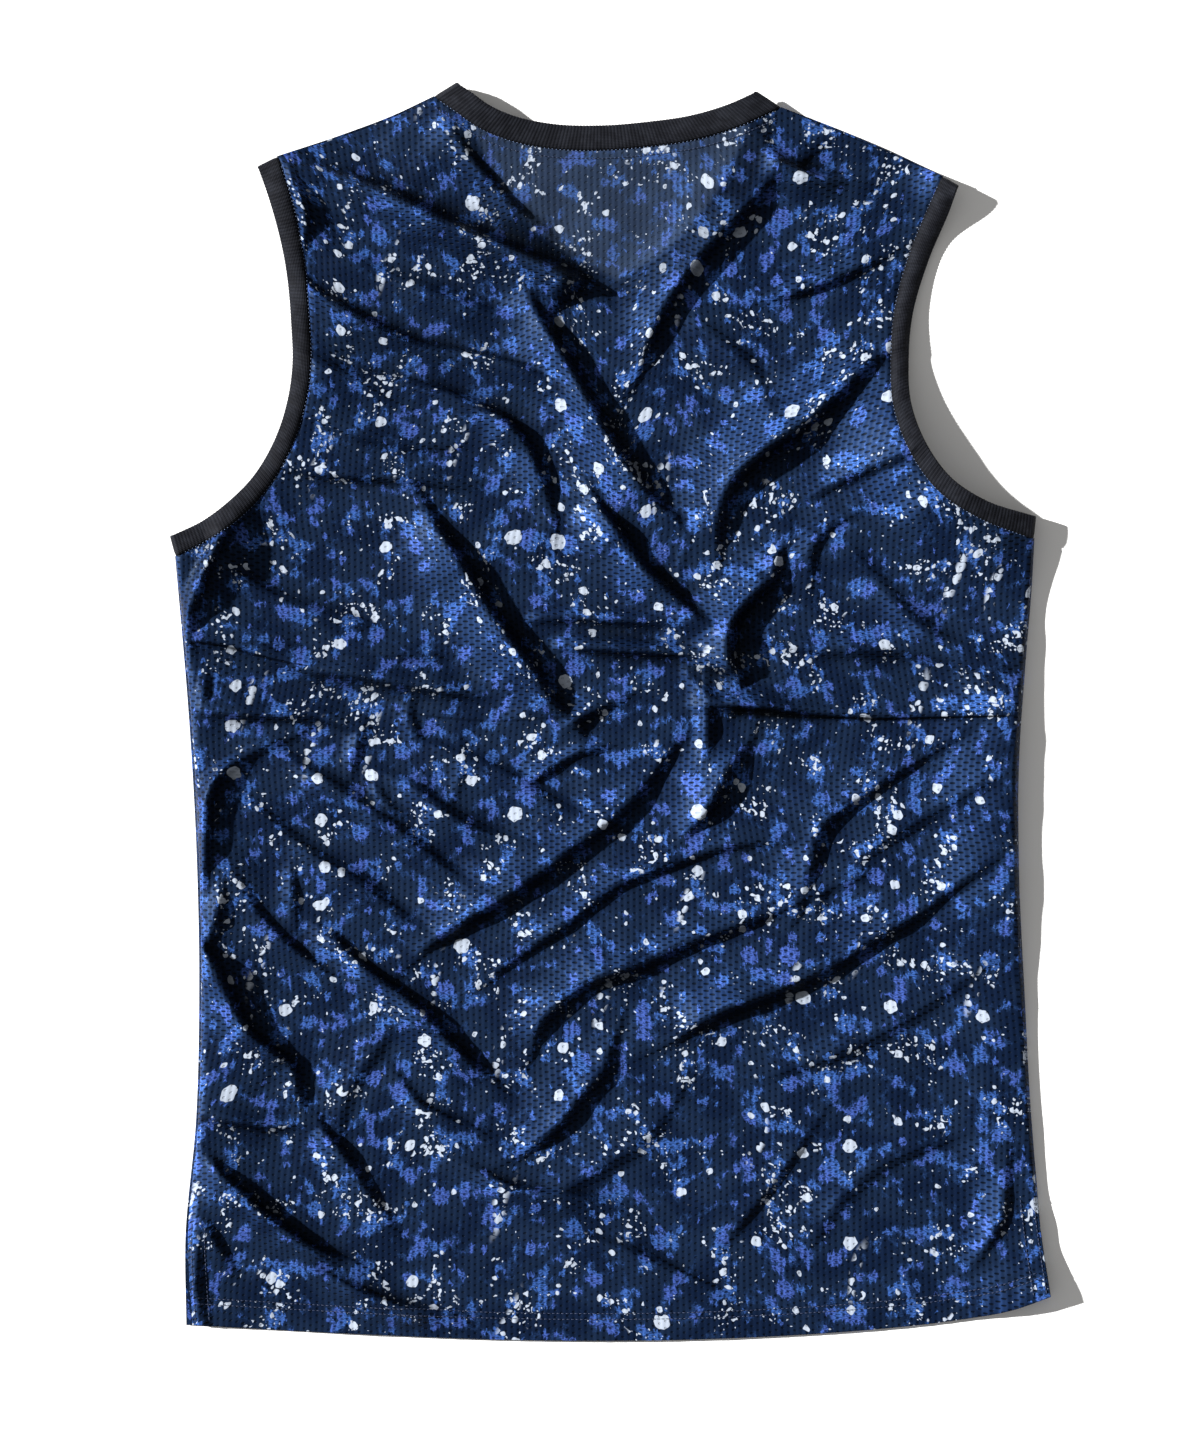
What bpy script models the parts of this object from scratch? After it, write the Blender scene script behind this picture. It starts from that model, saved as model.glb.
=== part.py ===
"""A sleeveless running singlet, laid flat with its back up.

Front and back panels of mesh knit are sewn at the shoulders and sides, with
ribbed bands round the neck and both armholes, a turned hem and a short vent at
the foot of each side seam. The back neck is shallow and the front neck is a V,
so the back panel alone lies over the V. All sizes are in metres, +Z is up, +Y
runs from the hem to the neck, and the front panel rests on Z = 0.
"""

from typing import NamedTuple

import bpy
import numpy as np

COLLECTION = "running_singlet"

# Walls and gaps
CLOTH = 0.0012  # the mesh knit's wall
TURNED = 0.0019  # the knit turned double, at the hem and the vents
RIB = 0.0016  # the folded rib's wall
SEAM_GAP = 0.0003  # between two pieces that are sewn together
ROLL_GAP = 0.0006  # between the rims at a rolled side seam, which lean towards each other
LAYER_GAP = 0.0003  # between the front panel and the back panel lying on it

# Hem and vents
HEM_DEPTH = 0.016
HEM_STEP = 0.002  # the height over which the double knit thins to one layer
HEM_SLACK = 0.0005  # so that the row at the top of the turned hem counts as turned
VENT_HEIGHT = 0.058
VENT_WIDTH = 0.010
VENT_CLOSING = 0.029  # the height over which the sides come together above a vent

# The rolled edge at each side seam
ROLL_WIDTH = 0.009  # from the seam to the top of the roll
ROLL_FALL = 0.045  # from the top of the roll to the flat
SEAM_SHARE = 0.45  # the seam's height, as a share of the roll's

# Rib widths and how far the folded ends of a rib's ring reach past its strips
NECK_RIB_WIDTH = 0.0137
TURN_REACH = 0.0022

# How far the back layer stands off the front one along an open edge
EDGE_RISE = 0.0012  # at the ends of the opening, where both layers meet
NECK_RISE = 0.0070
NECK_FALL = 0.052  # how far in from the neck's edge that rise dies away
ARMHOLE_FALL = 0.040
RISE_POWER = 0.8  # under 1, the rise stays high for longer along the edge

# Grid steps
EDGE_COLUMNS = (0.0, 0.0010, 0.0040, 0.0090, 0.0200)  # in from each side seam
BACK_STEP = 0.0140
FRONT_STEP = 0.0205
BODY_ROWS = 26
YOKE_ROWS = 15
TURN_SECTIONS = 4
SMOOTH_STEPS = 24  # fine steps between two points of a smooth curve
SLOPE_STEP = 0.0005  # the distance over which a surface's slope is measured

# Finishes
NAVY = (0.016, 0.032, 0.090)
CHARCOAL = (0.020, 0.020, 0.024)
KNIT_ROUGHNESS = 0.6
RIB_ROUGHNESS = 0.8

# Where light rakes across the cloth from, in plan: a fold is steep on the far side
RAKE = np.array([0.97, -0.25])


class Section(NamedTuple):
    """One point of an edge, and the rib's width there."""

    x: float
    y: float
    width: float


class Fold(NamedTuple):
    """A ridge in the back panel; its path is the middle of its steep side."""

    name: str
    height: float
    gentle: float
    steep: float
    path: tuple


class Lift(NamedTuple):
    """A place where the layers stand off the table, and the front's share of that height."""

    name: str
    x: float
    y: float
    height: float
    reach: float
    front_share: float


class Rise(NamedTuple):
    """How high the back stands off the front at one share of an armhole's edge."""

    share: float
    height: float


class RollRow(NamedTuple):
    """The height of the rolled side edges at one level."""

    y: float
    left: float
    right: float


HEM = (
    (-0.2415, -0.3540),
    (-0.1360, -0.3597),
    (-0.0586, -0.3626),
    (0.0401, -0.3626),
    (0.1088, -0.3597),
    (0.1493, -0.3568),
    (0.2006, -0.3511),
    (0.2330, -0.3453),
    (0.2543, -0.3378),
)
LEFT_SIDE = (
    (-0.2415, -0.3540),
    (-0.2440, -0.3049),
    (-0.2382, -0.2356),
    (-0.2364, -0.1547),
    (-0.2382, -0.0739),
    (-0.2422, -0.0046),
    (-0.2486, 0.0647),
    (-0.2515, 0.0900),
)
RIGHT_SIDE = (
    (0.2543, -0.3378),
    (0.2486, -0.3049),
    (0.2416, -0.2356),
    (0.2376, -0.1663),
    (0.2341, -0.0970),
    (0.2336, -0.0277),
    (0.2364, 0.0200),
    (0.2410, 0.0647),
    (0.2445, 0.1000),
)
FRONT_PEEK = 0.0035  # the front panel shows this far past the back one at the left vent

LEFT_ARMHOLE = (
    Section(-0.2543, 0.1010, 0.0110),
    Section(-0.2341, 0.1109, 0.0105),
    Section(-0.2191, 0.1224, 0.0105),
    Section(-0.2076, 0.1340, 0.0102),
    Section(-0.1937, 0.1570, 0.0100),
    Section(-0.1862, 0.1801, 0.0100),
    Section(-0.1833, 0.2032, 0.0100),
    Section(-0.1839, 0.2206, 0.0100),
    Section(-0.1879, 0.2610, 0.0105),
    Section(-0.1966, 0.2956, 0.0120),
    Section(-0.2035, 0.3153, 0.0124),
)
RIGHT_ARMHOLE = (
    Section(0.2457, 0.1125, 0.0110),
    Section(0.2157, 0.1224, 0.0102),
    Section(0.1978, 0.1340, 0.0100),
    Section(0.1810, 0.1570, 0.0098),
    Section(0.1729, 0.1801, 0.0096),
    Section(0.1718, 0.2032, 0.0096),
    Section(0.1735, 0.2263, 0.0100),
    Section(0.1833, 0.2610, 0.0110),
    Section(0.1955, 0.2900, 0.0112),
    Section(0.2006, 0.3043, 0.0105),
)
BACK_NECK = (
    Section(-0.0892, 0.3632, NECK_RIB_WIDTH),
    Section(-0.0811, 0.3580, NECK_RIB_WIDTH),
    Section(-0.0696, 0.3499, NECK_RIB_WIDTH),
    Section(-0.0580, 0.3447, NECK_RIB_WIDTH),
    Section(-0.0349, 0.3395, NECK_RIB_WIDTH),
    Section(-0.0060, 0.3384, NECK_RIB_WIDTH),
    Section(0.0228, 0.3407, NECK_RIB_WIDTH),
    Section(0.0459, 0.3441, NECK_RIB_WIDTH),
    Section(0.0690, 0.3510, NECK_RIB_WIDTH),
    Section(0.0846, 0.3580, NECK_RIB_WIDTH),
)
LEFT_V = (
    Section(-0.0892, 0.3632, NECK_RIB_WIDTH),
    Section(-0.0825, 0.3420, NECK_RIB_WIDTH),
    Section(-0.0730, 0.3190, NECK_RIB_WIDTH),
    Section(-0.0575, 0.2930, NECK_RIB_WIDTH),
    Section(-0.0310, 0.2675, NECK_RIB_WIDTH),
    Section(0.0040, 0.2480, NECK_RIB_WIDTH),
)
RIGHT_V = (
    Section(0.0846, 0.3580, NECK_RIB_WIDTH),
    Section(0.0800, 0.3380, NECK_RIB_WIDTH),
    Section(0.0710, 0.3160, NECK_RIB_WIDTH),
    Section(0.0560, 0.2910, NECK_RIB_WIDTH),
    Section(0.0340, 0.2670, NECK_RIB_WIDTH),
    Section(0.0040, 0.2480, NECK_RIB_WIDTH),
)

# Where a rib's seam meets another seam
LEFT_ARMPIT = (-0.2515, 0.0900)
RIGHT_ARMPIT = (0.2445, 0.1000)
LEFT_SHOULDER = (-0.1926, 0.3210)
RIGHT_SHOULDER = (0.1920, 0.3095)
LEFT_NECK = (-0.1020, 0.3557)
RIGHT_NECK = (0.0985, 0.3493)
V_POINT = (0.0040, 0.2305)
LEFT_SHOULDER_LINE = (LEFT_SHOULDER, (-0.1540, 0.3325), (-0.1250, 0.3435), LEFT_NECK)
RIGHT_SHOULDER_LINE = (RIGHT_NECK, (0.1270, 0.3370), (0.1590, 0.3235), RIGHT_SHOULDER)

ROLLS = (
    RollRow(-0.360, 0.0024, 0.0022),
    RollRow(-0.300, 0.0042, 0.0030),
    RollRow(-0.270, 0.0045, 0.0033),
    RollRow(-0.235, 0.0049, 0.0035),
    RollRow(-0.200, 0.0052, 0.0033),
    RollRow(-0.175, 0.0053, 0.0037),
    RollRow(-0.150, 0.0054, 0.0046),
    RollRow(-0.130, 0.0055, 0.0068),
    RollRow(-0.105, 0.0056, 0.0080),
    RollRow(-0.060, 0.0058, 0.0082),
    RollRow(-0.010, 0.0060, 0.0085),
    RollRow(0.020, 0.0060, 0.0069),
    RollRow(0.045, 0.0060, 0.0050),
    RollRow(0.065, 0.0060, 0.0040),
    RollRow(0.085, 0.0056, 0.0037),
    RollRow(0.110, 0.0050, 0.0040),
)
LIFTS = (
    Lift("left_neck", -0.086, 0.360, 0.0104, 0.040, 0.30),
    Lift("right_neck", 0.085, 0.356, 0.0070, 0.034, 1.00),
    Lift("left_shoulder", -0.200, 0.314, 0.0070, 0.032, 1.00),
    Lift("right_shoulder", 0.200, 0.304, 0.0106, 0.021, 1.00),
    Lift("left_armpit", -0.254, 0.096, 0.0070, 0.036, 1.00),
    Lift("right_armpit", 0.245, 0.106, 0.0035, 0.032, 1.00),
    Lift("right_hem", 0.252, -0.342, 0.0060, 0.026, 0.60),
)
FRONT_REACH = 0.65  # how far the front layer's lift reaches, as a share of the back's
LEFT_RISES = (
    Rise(0.0, 0.0012),
    Rise(0.15, 0.0040),
    Rise(0.35, 0.0062),
    Rise(0.5, 0.0066),
    Rise(0.65, 0.0062),
    Rise(0.85, 0.0040),
    Rise(1.0, 0.0012),
)
RIGHT_RISES = (
    Rise(0.0, 0.0014),
    Rise(0.05, 0.0060),
    Rise(0.10, 0.0118),
    Rise(0.15, 0.0164),
    Rise(0.20, 0.0186),
    Rise(0.27, 0.0184),
    Rise(0.35, 0.0166),
    Rise(0.41, 0.0148),
    Rise(0.44, 0.0124),
    Rise(0.475, 0.0080),
    Rise(0.53, 0.0056),
    Rise(0.59, 0.0044),
    Rise(0.65, 0.0030),
    Rise(0.72, 0.0016),
    Rise(0.80, 0.0008),
    Rise(1.0, 0.0008),
)
RISE_STEPS = 101  # an armhole's rises are evened out over this many steps
RISE_EVEN = 4  # and over this many to each side

FOLDS = (
    Fold("neck_left", 0.0060, 0.045, 0.015,
         ((-0.145, 0.312), (-0.104, 0.296), (-0.064, 0.277), (-0.009, 0.251))),
    Fold("neck_right", 0.0095, 0.050, 0.016,
         ((0.105, 0.312), (0.085, 0.288), (0.050, 0.247), (0.020, 0.196))),
    Fold("chest_mid", 0.0090, 0.045, 0.016,
         ((-0.043, 0.243), (-0.023, 0.217), (0.011, 0.156), (0.036, 0.117))),
    Fold("chest_right", 0.0100, 0.055, 0.016,
         ((0.158, 0.204), (0.135, 0.176), (0.097, 0.144), (0.066, 0.094))),
    Fold("chest_left", 0.0055, 0.045, 0.014,
         ((-0.160, 0.199), (-0.083, 0.182), (-0.045, 0.156), (-0.030, 0.115))),
    Fold("waist_left", 0.0090, 0.050, 0.016,
         ((-0.098, 0.113), (-0.078, 0.087), (-0.041, 0.033), (-0.022, 0.000))),
    Fold("centre", 0.0070, 0.040, 0.014,
         ((-0.005, 0.126), (0.012, 0.106), (0.036, 0.075), (0.056, 0.055))),
    Fold("knot", 0.0125, 0.048, 0.016,
         ((0.102, 0.096), (0.097, 0.070), (0.081, 0.042), (0.080, 0.010))),
    Fold("waist_long", 0.0080, 0.055, 0.016,
         ((0.042, -0.018), (0.008, -0.065), (-0.053, -0.107), (-0.108, -0.142))),
    Fold("waist_right", 0.0090, 0.045, 0.016,
         ((0.084, -0.016), (0.078, -0.038), (0.066, -0.058), (0.047, -0.074))),
    Fold("belly", 0.0070, 0.045, 0.016,
         ((0.098, -0.076), (0.026, -0.097), (-0.035, -0.135), (-0.063, -0.153))),
    Fold("side_right", 0.0070, 0.050, 0.015,
         ((0.198, -0.022), (0.139, -0.054), (0.125, -0.085), (0.111, -0.118))),
    Fold("hip_right", 0.0070, 0.060, 0.016,
         ((0.226, -0.094), (0.168, -0.132), (0.107, -0.158), (0.050, -0.188))),
    Fold("hip_mid", 0.0065, 0.050, 0.016,
         ((0.140, -0.099), (0.050, -0.133), (-0.007, -0.158), (-0.041, -0.198))),
    Fold("seat", 0.0060, 0.050, 0.016,
         ((0.007, -0.186), (0.003, -0.208), (-0.023, -0.239), (-0.048, -0.257))),
    Fold("hip_left", 0.0050, 0.045, 0.016,
         ((-0.153, -0.133), (-0.124, -0.154), (-0.083, -0.194), (-0.066, -0.210))),
    Fold("side_left", 0.0075, 0.045, 0.016,
         ((-0.236, -0.128), (-0.215, -0.152), (-0.185, -0.198), (-0.171, -0.232))),
    Fold("hem_left", 0.0040, 0.050, 0.018,
         ((-0.236, -0.253), (-0.185, -0.293), (-0.154, -0.314), (-0.124, -0.335))),
    Fold("hem_mid", 0.0040, 0.045, 0.016,
         ((-0.169, -0.231), (-0.155, -0.248), (-0.142, -0.266), (-0.130, -0.287))),
    Fold("low_right", 0.0036, 0.045, 0.018,
         ((0.122, -0.236), (0.108, -0.258), (0.090, -0.282), (0.070, -0.305))),
    Fold("waist_soft", 0.0034, 0.045, 0.018,
         ((-0.184, -0.025), (-0.155, -0.043), (-0.118, -0.069), (-0.084, -0.097))),
    Fold("crease", 0.0022, 0.030, 0.014,
         ((-0.230, 0.001), (-0.064, -0.006), (0.078, -0.006), (0.238, -0.003))),
)
FOLD_EDGE = 0.030  # folds die away over this distance from a seam or a free edge
FOLD_END = 0.28  # and over this share of their own length at each end
FOLD_MIX = 2.5  # the higher it is, the more the taller of two crossing folds wins


def smooth_curve(points, shares):
    """Points at the given shares of the length of a smooth curve through points."""
    knots = np.array([(p[0], p[1]) for p in points], float)
    chord = np.linalg.norm(np.diff(knots, axis=0), axis=1)
    along = np.concatenate([[0.0], np.cumsum(chord)])
    slope = np.gradient(knots, along, axis=0)
    fine = np.linspace(0.0, along[-1], SMOOTH_STEPS * len(knots))
    low = np.clip(np.searchsorted(along, fine, side="right") - 1, 0, len(knots) - 2)
    step = (along[low + 1] - along[low])[:, None]
    t = (fine[:, None] - along[low][:, None]) / step
    curve = (
        (2 * t**3 - 3 * t**2 + 1) * knots[low]
        + (t**3 - 2 * t**2 + t) * step * slope[low]
        + (3 * t**2 - 2 * t**3) * knots[low + 1]
        + (t**3 - t**2) * step * slope[low + 1]
    )
    run = np.concatenate([[0.0], np.cumsum(np.linalg.norm(np.diff(curve, axis=0), axis=1))])
    at = np.asarray(shares, float) * run[-1]
    return np.stack([np.interp(at, run, curve[:, k]) for k in range(2)], axis=1)


def smooth_step(value):
    """0 below 0, 1 above 1 and an S curve between."""
    t = np.clip(value, 0.0, 1.0)
    return t * t * (3.0 - 2.0 * t)


def from_line(points, line):
    """Each point's offset from its nearest place on a line, and that place's share of the length."""
    start = line[:-1]
    run = np.diff(line, axis=0)
    length = np.linalg.norm(run, axis=1)
    rel = points[:, None] - start[None]
    t = np.clip((rel * run).sum(axis=2) / length**2, 0.0, 1.0)
    away = rel - t[..., None] * run
    near = np.linalg.norm(away, axis=2).argmin(axis=1)
    rows = np.arange(len(points))
    before = np.concatenate([[0.0], np.cumsum(length)])
    share = (before[near] + t[rows, near] * length[near]) / before[-1]
    return away[rows, near], share


def seam_of(edge, start, end, side):
    """The seam of a rib: its edge moved sideways by its width, between two given ends."""
    line = np.array([(s.x, s.y) for s in edge])
    along = np.gradient(line, axis=0)
    along /= np.linalg.norm(along, axis=1)[:, None]
    across = np.stack([along[:, 1], -along[:, 0]], axis=1) * side
    seam = line + across * np.array([s.width for s in edge])[:, None]
    seam[0] = start
    seam[-1] = end
    return seam


LEFT_ARM_SEAM = seam_of(LEFT_ARMHOLE, LEFT_ARMPIT, LEFT_SHOULDER, 1)
RIGHT_ARM_SEAM = seam_of(RIGHT_ARMHOLE, RIGHT_ARMPIT, RIGHT_SHOULDER, -1)
BACK_NECK_SEAM = seam_of(BACK_NECK, LEFT_NECK, RIGHT_NECK, 1)
LEFT_V_SEAM = seam_of(LEFT_V, LEFT_NECK, V_POINT, 1)
RIGHT_V_SEAM = seam_of(RIGHT_V, RIGHT_NECK, V_POINT, -1)


def roll_height(y, side):
    """The height of the rolled side edge at each level."""
    levels = [row.y for row in ROLLS]
    heights = [getattr(row, side) for row in ROLLS]
    return np.interp(y, levels, heights)


def lift_height(points, in_front):
    """How far the raised corners carry a layer up: bell curves, narrower and lower in the front."""
    total = np.zeros(len(points))
    for lift in LIFTS:
        reach = lift.reach * (FRONT_REACH if in_front else 1.0)
        height = lift.height * (lift.front_share if in_front else 1.0)
        far = np.hypot(points[:, 0] - lift.x, points[:, 1] - lift.y)
        total += height * np.exp(-((far / reach) ** 2))
    return total


def fold_profile(away, fold):
    """A ridge's height across its path: a gentle side and a steep side, each half a cosine."""
    crest = away + 0.5 * fold.steep
    width = np.where(crest < 0.0, fold.gentle, fold.steep)
    return 0.5 * (1.0 + np.cos(np.pi * np.clip(np.abs(crest) / width, 0.0, 1.0)))


def fold_height(points):
    """The height of all folds together, the taller one winning where two meet."""
    total = np.zeros(len(points))
    for fold in FOLDS:
        line = smooth_curve(fold.path, np.linspace(0.0, 1.0, SMOOTH_STEPS))
        normal = np.stack([np.diff(line[:, 1]), -np.diff(line[:, 0])], axis=1).mean(axis=0)
        facing = np.sign(normal @ RAKE)
        away, share = from_line(points, line)
        tangent = np.gradient(line, axis=0)
        at = np.clip((share * (len(line) - 1)).round().astype(int), 0, len(line) - 1)
        across = np.stack([tangent[at, 1], -tangent[at, 0]], axis=1) * facing
        across /= np.linalg.norm(across, axis=1)[:, None]
        signed = np.sign((away * across).sum(axis=1)) * np.linalg.norm(away, axis=1)
        ends = smooth_step(share / FOLD_END) * smooth_step((1.0 - share) / FOLD_END)
        total += (fold.height * fold_profile(signed, fold) * ends) ** FOLD_MIX
    return total ** (1.0 / FOLD_MIX)


def edge_distance(points, *lines):
    """Each point's distance to the nearest of several smooth lines."""
    shares = np.linspace(0.0, 1.0, SMOOTH_STEPS)
    found = [np.linalg.norm(from_line(points, smooth_curve(line, shares))[0], axis=1) for line in lines]
    return np.min(found, axis=0)


def neck_rise(points):
    """The back layer's rise along the neck, full in its middle and low at its ends."""
    away, share = from_line(points, smooth_curve(BACK_NECK, np.linspace(0.0, 1.0, SMOOTH_STEPS)))
    middle = np.sin(np.pi * share) ** RISE_POWER
    top = EDGE_RISE + (NECK_RISE - EDGE_RISE) * middle
    return top * np.exp(-((np.linalg.norm(away, axis=1) / NECK_FALL) ** 2))


def armhole_rise(points, edge, rises):
    """The back layer's rise along an armhole, from its evened table along it and a bell curve across it."""
    away, share = from_line(points, smooth_curve(edge, np.linspace(0.0, 1.0, SMOOTH_STEPS)))
    places = np.linspace(0.0, 1.0, RISE_STEPS)
    table = np.interp(places, [row.share for row in rises], [row.height for row in rises])
    padded = np.pad(table, RISE_EVEN, "edge")
    window = 2 * RISE_EVEN + 1
    evened = sum(padded[k : k + RISE_STEPS] for k in range(window)) / window
    top = np.interp(share, places, evened)
    return top * np.exp(-((np.linalg.norm(away, axis=1) / ARMHOLE_FALL) ** 2))


def sewn_share(points):
    """1 where the side edges are sewn, 0 in the vents below them."""
    top = HEM[0][1] + VENT_HEIGHT
    return smooth_step((points[:, 1] - top) / VENT_CLOSING)


def arc_rise(distance):
    """A quarter circle's height, from 0 at the seam to 1 at the roll's top."""
    t = np.clip(distance / ROLL_WIDTH, 0.0, 1.0)
    return np.sqrt(1.0 - (1.0 - t) ** 2)


def roll_of(points):
    """The rolled side's height over each point, and the point's distance to its side seam."""
    left = edge_distance(points, LEFT_SIDE)
    right = edge_distance(points, RIGHT_SIDE)
    on_left = left < right
    height = np.where(on_left, roll_height(points[:, 1], "left"), roll_height(points[:, 1], "right"))
    return height, np.minimum(left, right)


def front_height(points):
    """The height of the front layer's underside: flat, but for its sewn and raised edges."""
    height, near = roll_of(points)
    curl = SEAM_SHARE * height * (1.0 - arc_rise(near)) * sewn_share(points)
    return curl + lift_height(points, True)


def back_height(points):
    """The height of the back layer's underside over the front layer."""
    height, near = roll_of(points)
    inset = np.maximum(near - CLOTH, 0.0)
    sewn = sewn_share(points)
    at_seam = SEAM_SHARE * sewn + (1.0 - sewn)
    rise = at_seam + (1.0 - at_seam) * arc_rise(inset)
    fall = 1.0 - smooth_step((inset - ROLL_WIDTH) / ROLL_FALL)
    roll = height * rise * fall
    base = (CLOTH + LAYER_GAP) * (1.0 - sewn * (1.0 - arc_rise(inset)))
    hem = (TURNED - CLOTH) * (1.0 - smooth_step(edge_distance(points, HEM) / HEM_DEPTH - 1.0))
    openings = (
        neck_rise(points),
        armhole_rise(points, LEFT_ARMHOLE, LEFT_RISES),
        armhole_rise(points, RIGHT_ARMHOLE, RIGHT_RISES),
    )
    free = edge_distance(points, LEFT_SIDE, RIGHT_SIDE, HEM, LEFT_ARMHOLE, RIGHT_ARMHOLE, BACK_NECK)
    folds = fold_height(points) * smooth_step(free / FOLD_EDGE)
    seam = ROLL_GAP * sewn * (1.0 - arc_rise(inset))
    return base + seam + hem + roll + sum(openings) + folds + lift_height(points, False)


def patch(bottom, top, left, right, across, along):
    """A grid spanned between four edges: the sum of its two ruled surfaces less the bilinear one."""
    s = across[None, :, None]
    t = along[:, None, None]
    ruled = (1 - t) * bottom[None] + t * top[None] + (1 - s) * left[:, None] + s * right[:, None]
    corners = (1 - t) * ((1 - s) * bottom[0] + s * bottom[-1]) + t * ((1 - s) * top[0] + s * top[-1])
    return ruled - corners


def column_shares(step):
    """The columns of a panel: close together at its rolled sides, a step apart between."""
    width = RIGHT_ARMPIT[0] - LEFT_ARMPIT[0]
    inner = EDGE_COLUMNS[-1]
    count = round((width - 2 * inner) / step)
    middle = np.linspace(inner, width - inner, count + 1)[1:-1]
    edge = np.array(EDGE_COLUMNS)
    return np.concatenate([edge, middle, (width - edge)[::-1]]) / width


def body_shares():
    """The rows of a panel's body, with two close ones at the top of the hem."""
    height = LEFT_ARMPIT[1] - HEM[0][1]
    turned = np.array([0.0, HEM_DEPTH, HEM_DEPTH + HEM_STEP]) / height
    return np.concatenate([turned[:-1], np.linspace(turned[-1], 1.0, BODY_ROWS + 1)])


def yoke_shares():
    """The rows of a panel's yoke, which the armhole ribs' sections share."""
    return np.linspace(0.0, 1.0, YOKE_ROWS + 1)


def neck_columns(across):
    """The numbers of the columns that end on the two neck points."""
    shoulder = np.array([LEFT_NECK[0], RIGHT_NECK[0]])
    share = (shoulder - LEFT_SHOULDER[0]) / (RIGHT_SHOULDER[0] - LEFT_SHOULDER[0])
    return [int(np.abs(across - s).argmin()) for s in share]


def part_shares(across, first, last):
    """The shares of the columns from first to last along their own stretch of an edge."""
    return (across[first : last + 1] - across[first]) / (across[last] - across[first])


def top_edge(across, neck_parts):
    """A panel's top edge: shoulder, the parts of the neck seam, shoulder."""
    first, last = neck_columns(across)
    breaks = np.linspace(first, last, len(neck_parts) + 1).round().astype(int)
    edge = [smooth_curve(LEFT_SHOULDER_LINE, part_shares(across, 0, first))]
    for part, start, stop in zip(neck_parts, breaks[:-1], breaks[1:]):
        edge.append(smooth_curve(part, part_shares(across, start, stop))[1:])
    edge.append(smooth_curve(RIGHT_SHOULDER_LINE, part_shares(across, last, len(across) - 1))[1:])
    return np.concatenate(edge)


def panel_grid(across, neck_parts, left_side, right_side, hem):
    """A panel's plan, from the hem up, as rows of points."""
    chest = smooth_curve((LEFT_ARMPIT, RIGHT_ARMPIT), across)
    body = body_shares()
    yoke = yoke_shares()
    lower = patch(
        smooth_curve(hem, across),
        chest,
        smooth_curve(left_side, body),
        smooth_curve(right_side, body),
        across,
        body,
    )
    upper = patch(
        chest,
        top_edge(across, neck_parts),
        smooth_curve(LEFT_ARM_SEAM, yoke),
        smooth_curve(RIGHT_ARM_SEAM, yoke),
        across,
        yoke,
    )
    return np.concatenate([lower, upper[1:]])


def inset_sides(grid):
    """The plan moved in by the wall at the sewn sides, so that the back's outer face is flush."""
    flat = grid.reshape(-1, 2)
    middle = 0.5 * (grid[:, :1] + grid[:, -1:])
    towards = np.sign(middle[..., 0] - grid[..., 0])
    near = np.minimum(np.arange(grid.shape[1]), np.arange(grid.shape[1])[::-1])
    reach = np.maximum(1.0 - near / len(EDGE_COLUMNS), 0.0)
    shift = CLOTH * towards * reach[None] * sewn_share(flat).reshape(grid.shape[:2])
    body = np.arange(len(grid)) < len(body_shares())
    moved = grid.copy()
    moved[..., 0] += shift * body[:, None]
    return moved


def grid_mesh(name, points, closed=False):
    """A mesh of quads over a grid of points, facing up; a closed one joins its last row to its first."""
    rows, columns = points.shape[:2]
    index = np.arange(rows * columns).reshape(rows, columns)
    upper = np.roll(index, -1, axis=0) if closed else index[1:]
    lower = index if closed else index[:-1]
    quads = np.stack([lower[:, :-1], lower[:, 1:], upper[:, 1:], upper[:, :-1]], axis=-1)
    mesh = bpy.data.meshes.new(name)
    mesh.from_pydata(points.reshape(-1, 3).tolist(), [], quads.reshape(-1, 4).tolist())
    mesh.validate()
    mesh.shade_smooth()
    return mesh


def add_wall(obj, thickness, offset, thin_share=None):
    """Gives an open surface its wall; where the group is 0 the wall has the thin share."""
    wall = obj.modifiers.new("wall", "SOLIDIFY")
    wall.thickness = thickness
    wall.offset = offset
    if thin_share is not None:
        wall.vertex_group = "turned"
        wall.thickness_vertex_group = thin_share


def front_left_side():
    """The front's left side, which shows past the back's below the top of the vent."""
    top = HEM[0][1] + VENT_HEIGHT
    return [(x - FRONT_PEEK * min(max((top - y) / VENT_HEIGHT, 0.0), 1.0), y) for x, y in LEFT_SIDE]


def turned_weights(plan):
    """1 at the turned hem and vents, 0 over the single knit."""
    flat = plan.reshape(-1, 2)
    top = HEM[0][1] + VENT_HEIGHT
    hem = edge_distance(flat, HEM) < HEM_DEPTH + HEM_SLACK
    side = edge_distance(flat, LEFT_SIDE, RIGHT_SIDE) < VENT_WIDTH
    return (hem | (side & (flat[:, 1] < top))).astype(float)


def add_panel(home, name, plan, heights, material):
    """One panel: its plan lifted to its heights, with a wall that is thicker where it is turned."""
    points = np.concatenate([plan, heights.reshape(plan.shape[:2] + (1,))], axis=2)
    obj = bpy.data.objects.new(name, grid_mesh(name, points))
    group = obj.vertex_groups.new(name="turned")
    turned = np.flatnonzero(turned_weights(plan) > 0.5)
    group.add(turned.tolist(), 1.0, "REPLACE")
    add_wall(obj, TURNED, 1.0, CLOTH / TURNED)
    obj.data.materials.append(material)
    home.objects.link(obj)
    return obj


def drawn_in(line, starts, ends):
    """A line whose end points are moved along its first and last chords to make room for a turn."""
    moved = line.copy()
    if starts:
        run = line[1] - line[0]
        moved[0] = line[0] + run * TURN_REACH / np.linalg.norm(run)
    if ends:
        run = line[-2] - line[-1]
        moved[-1] = line[-1] + run * TURN_REACH / np.linalg.norm(run)
    return moved


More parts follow.
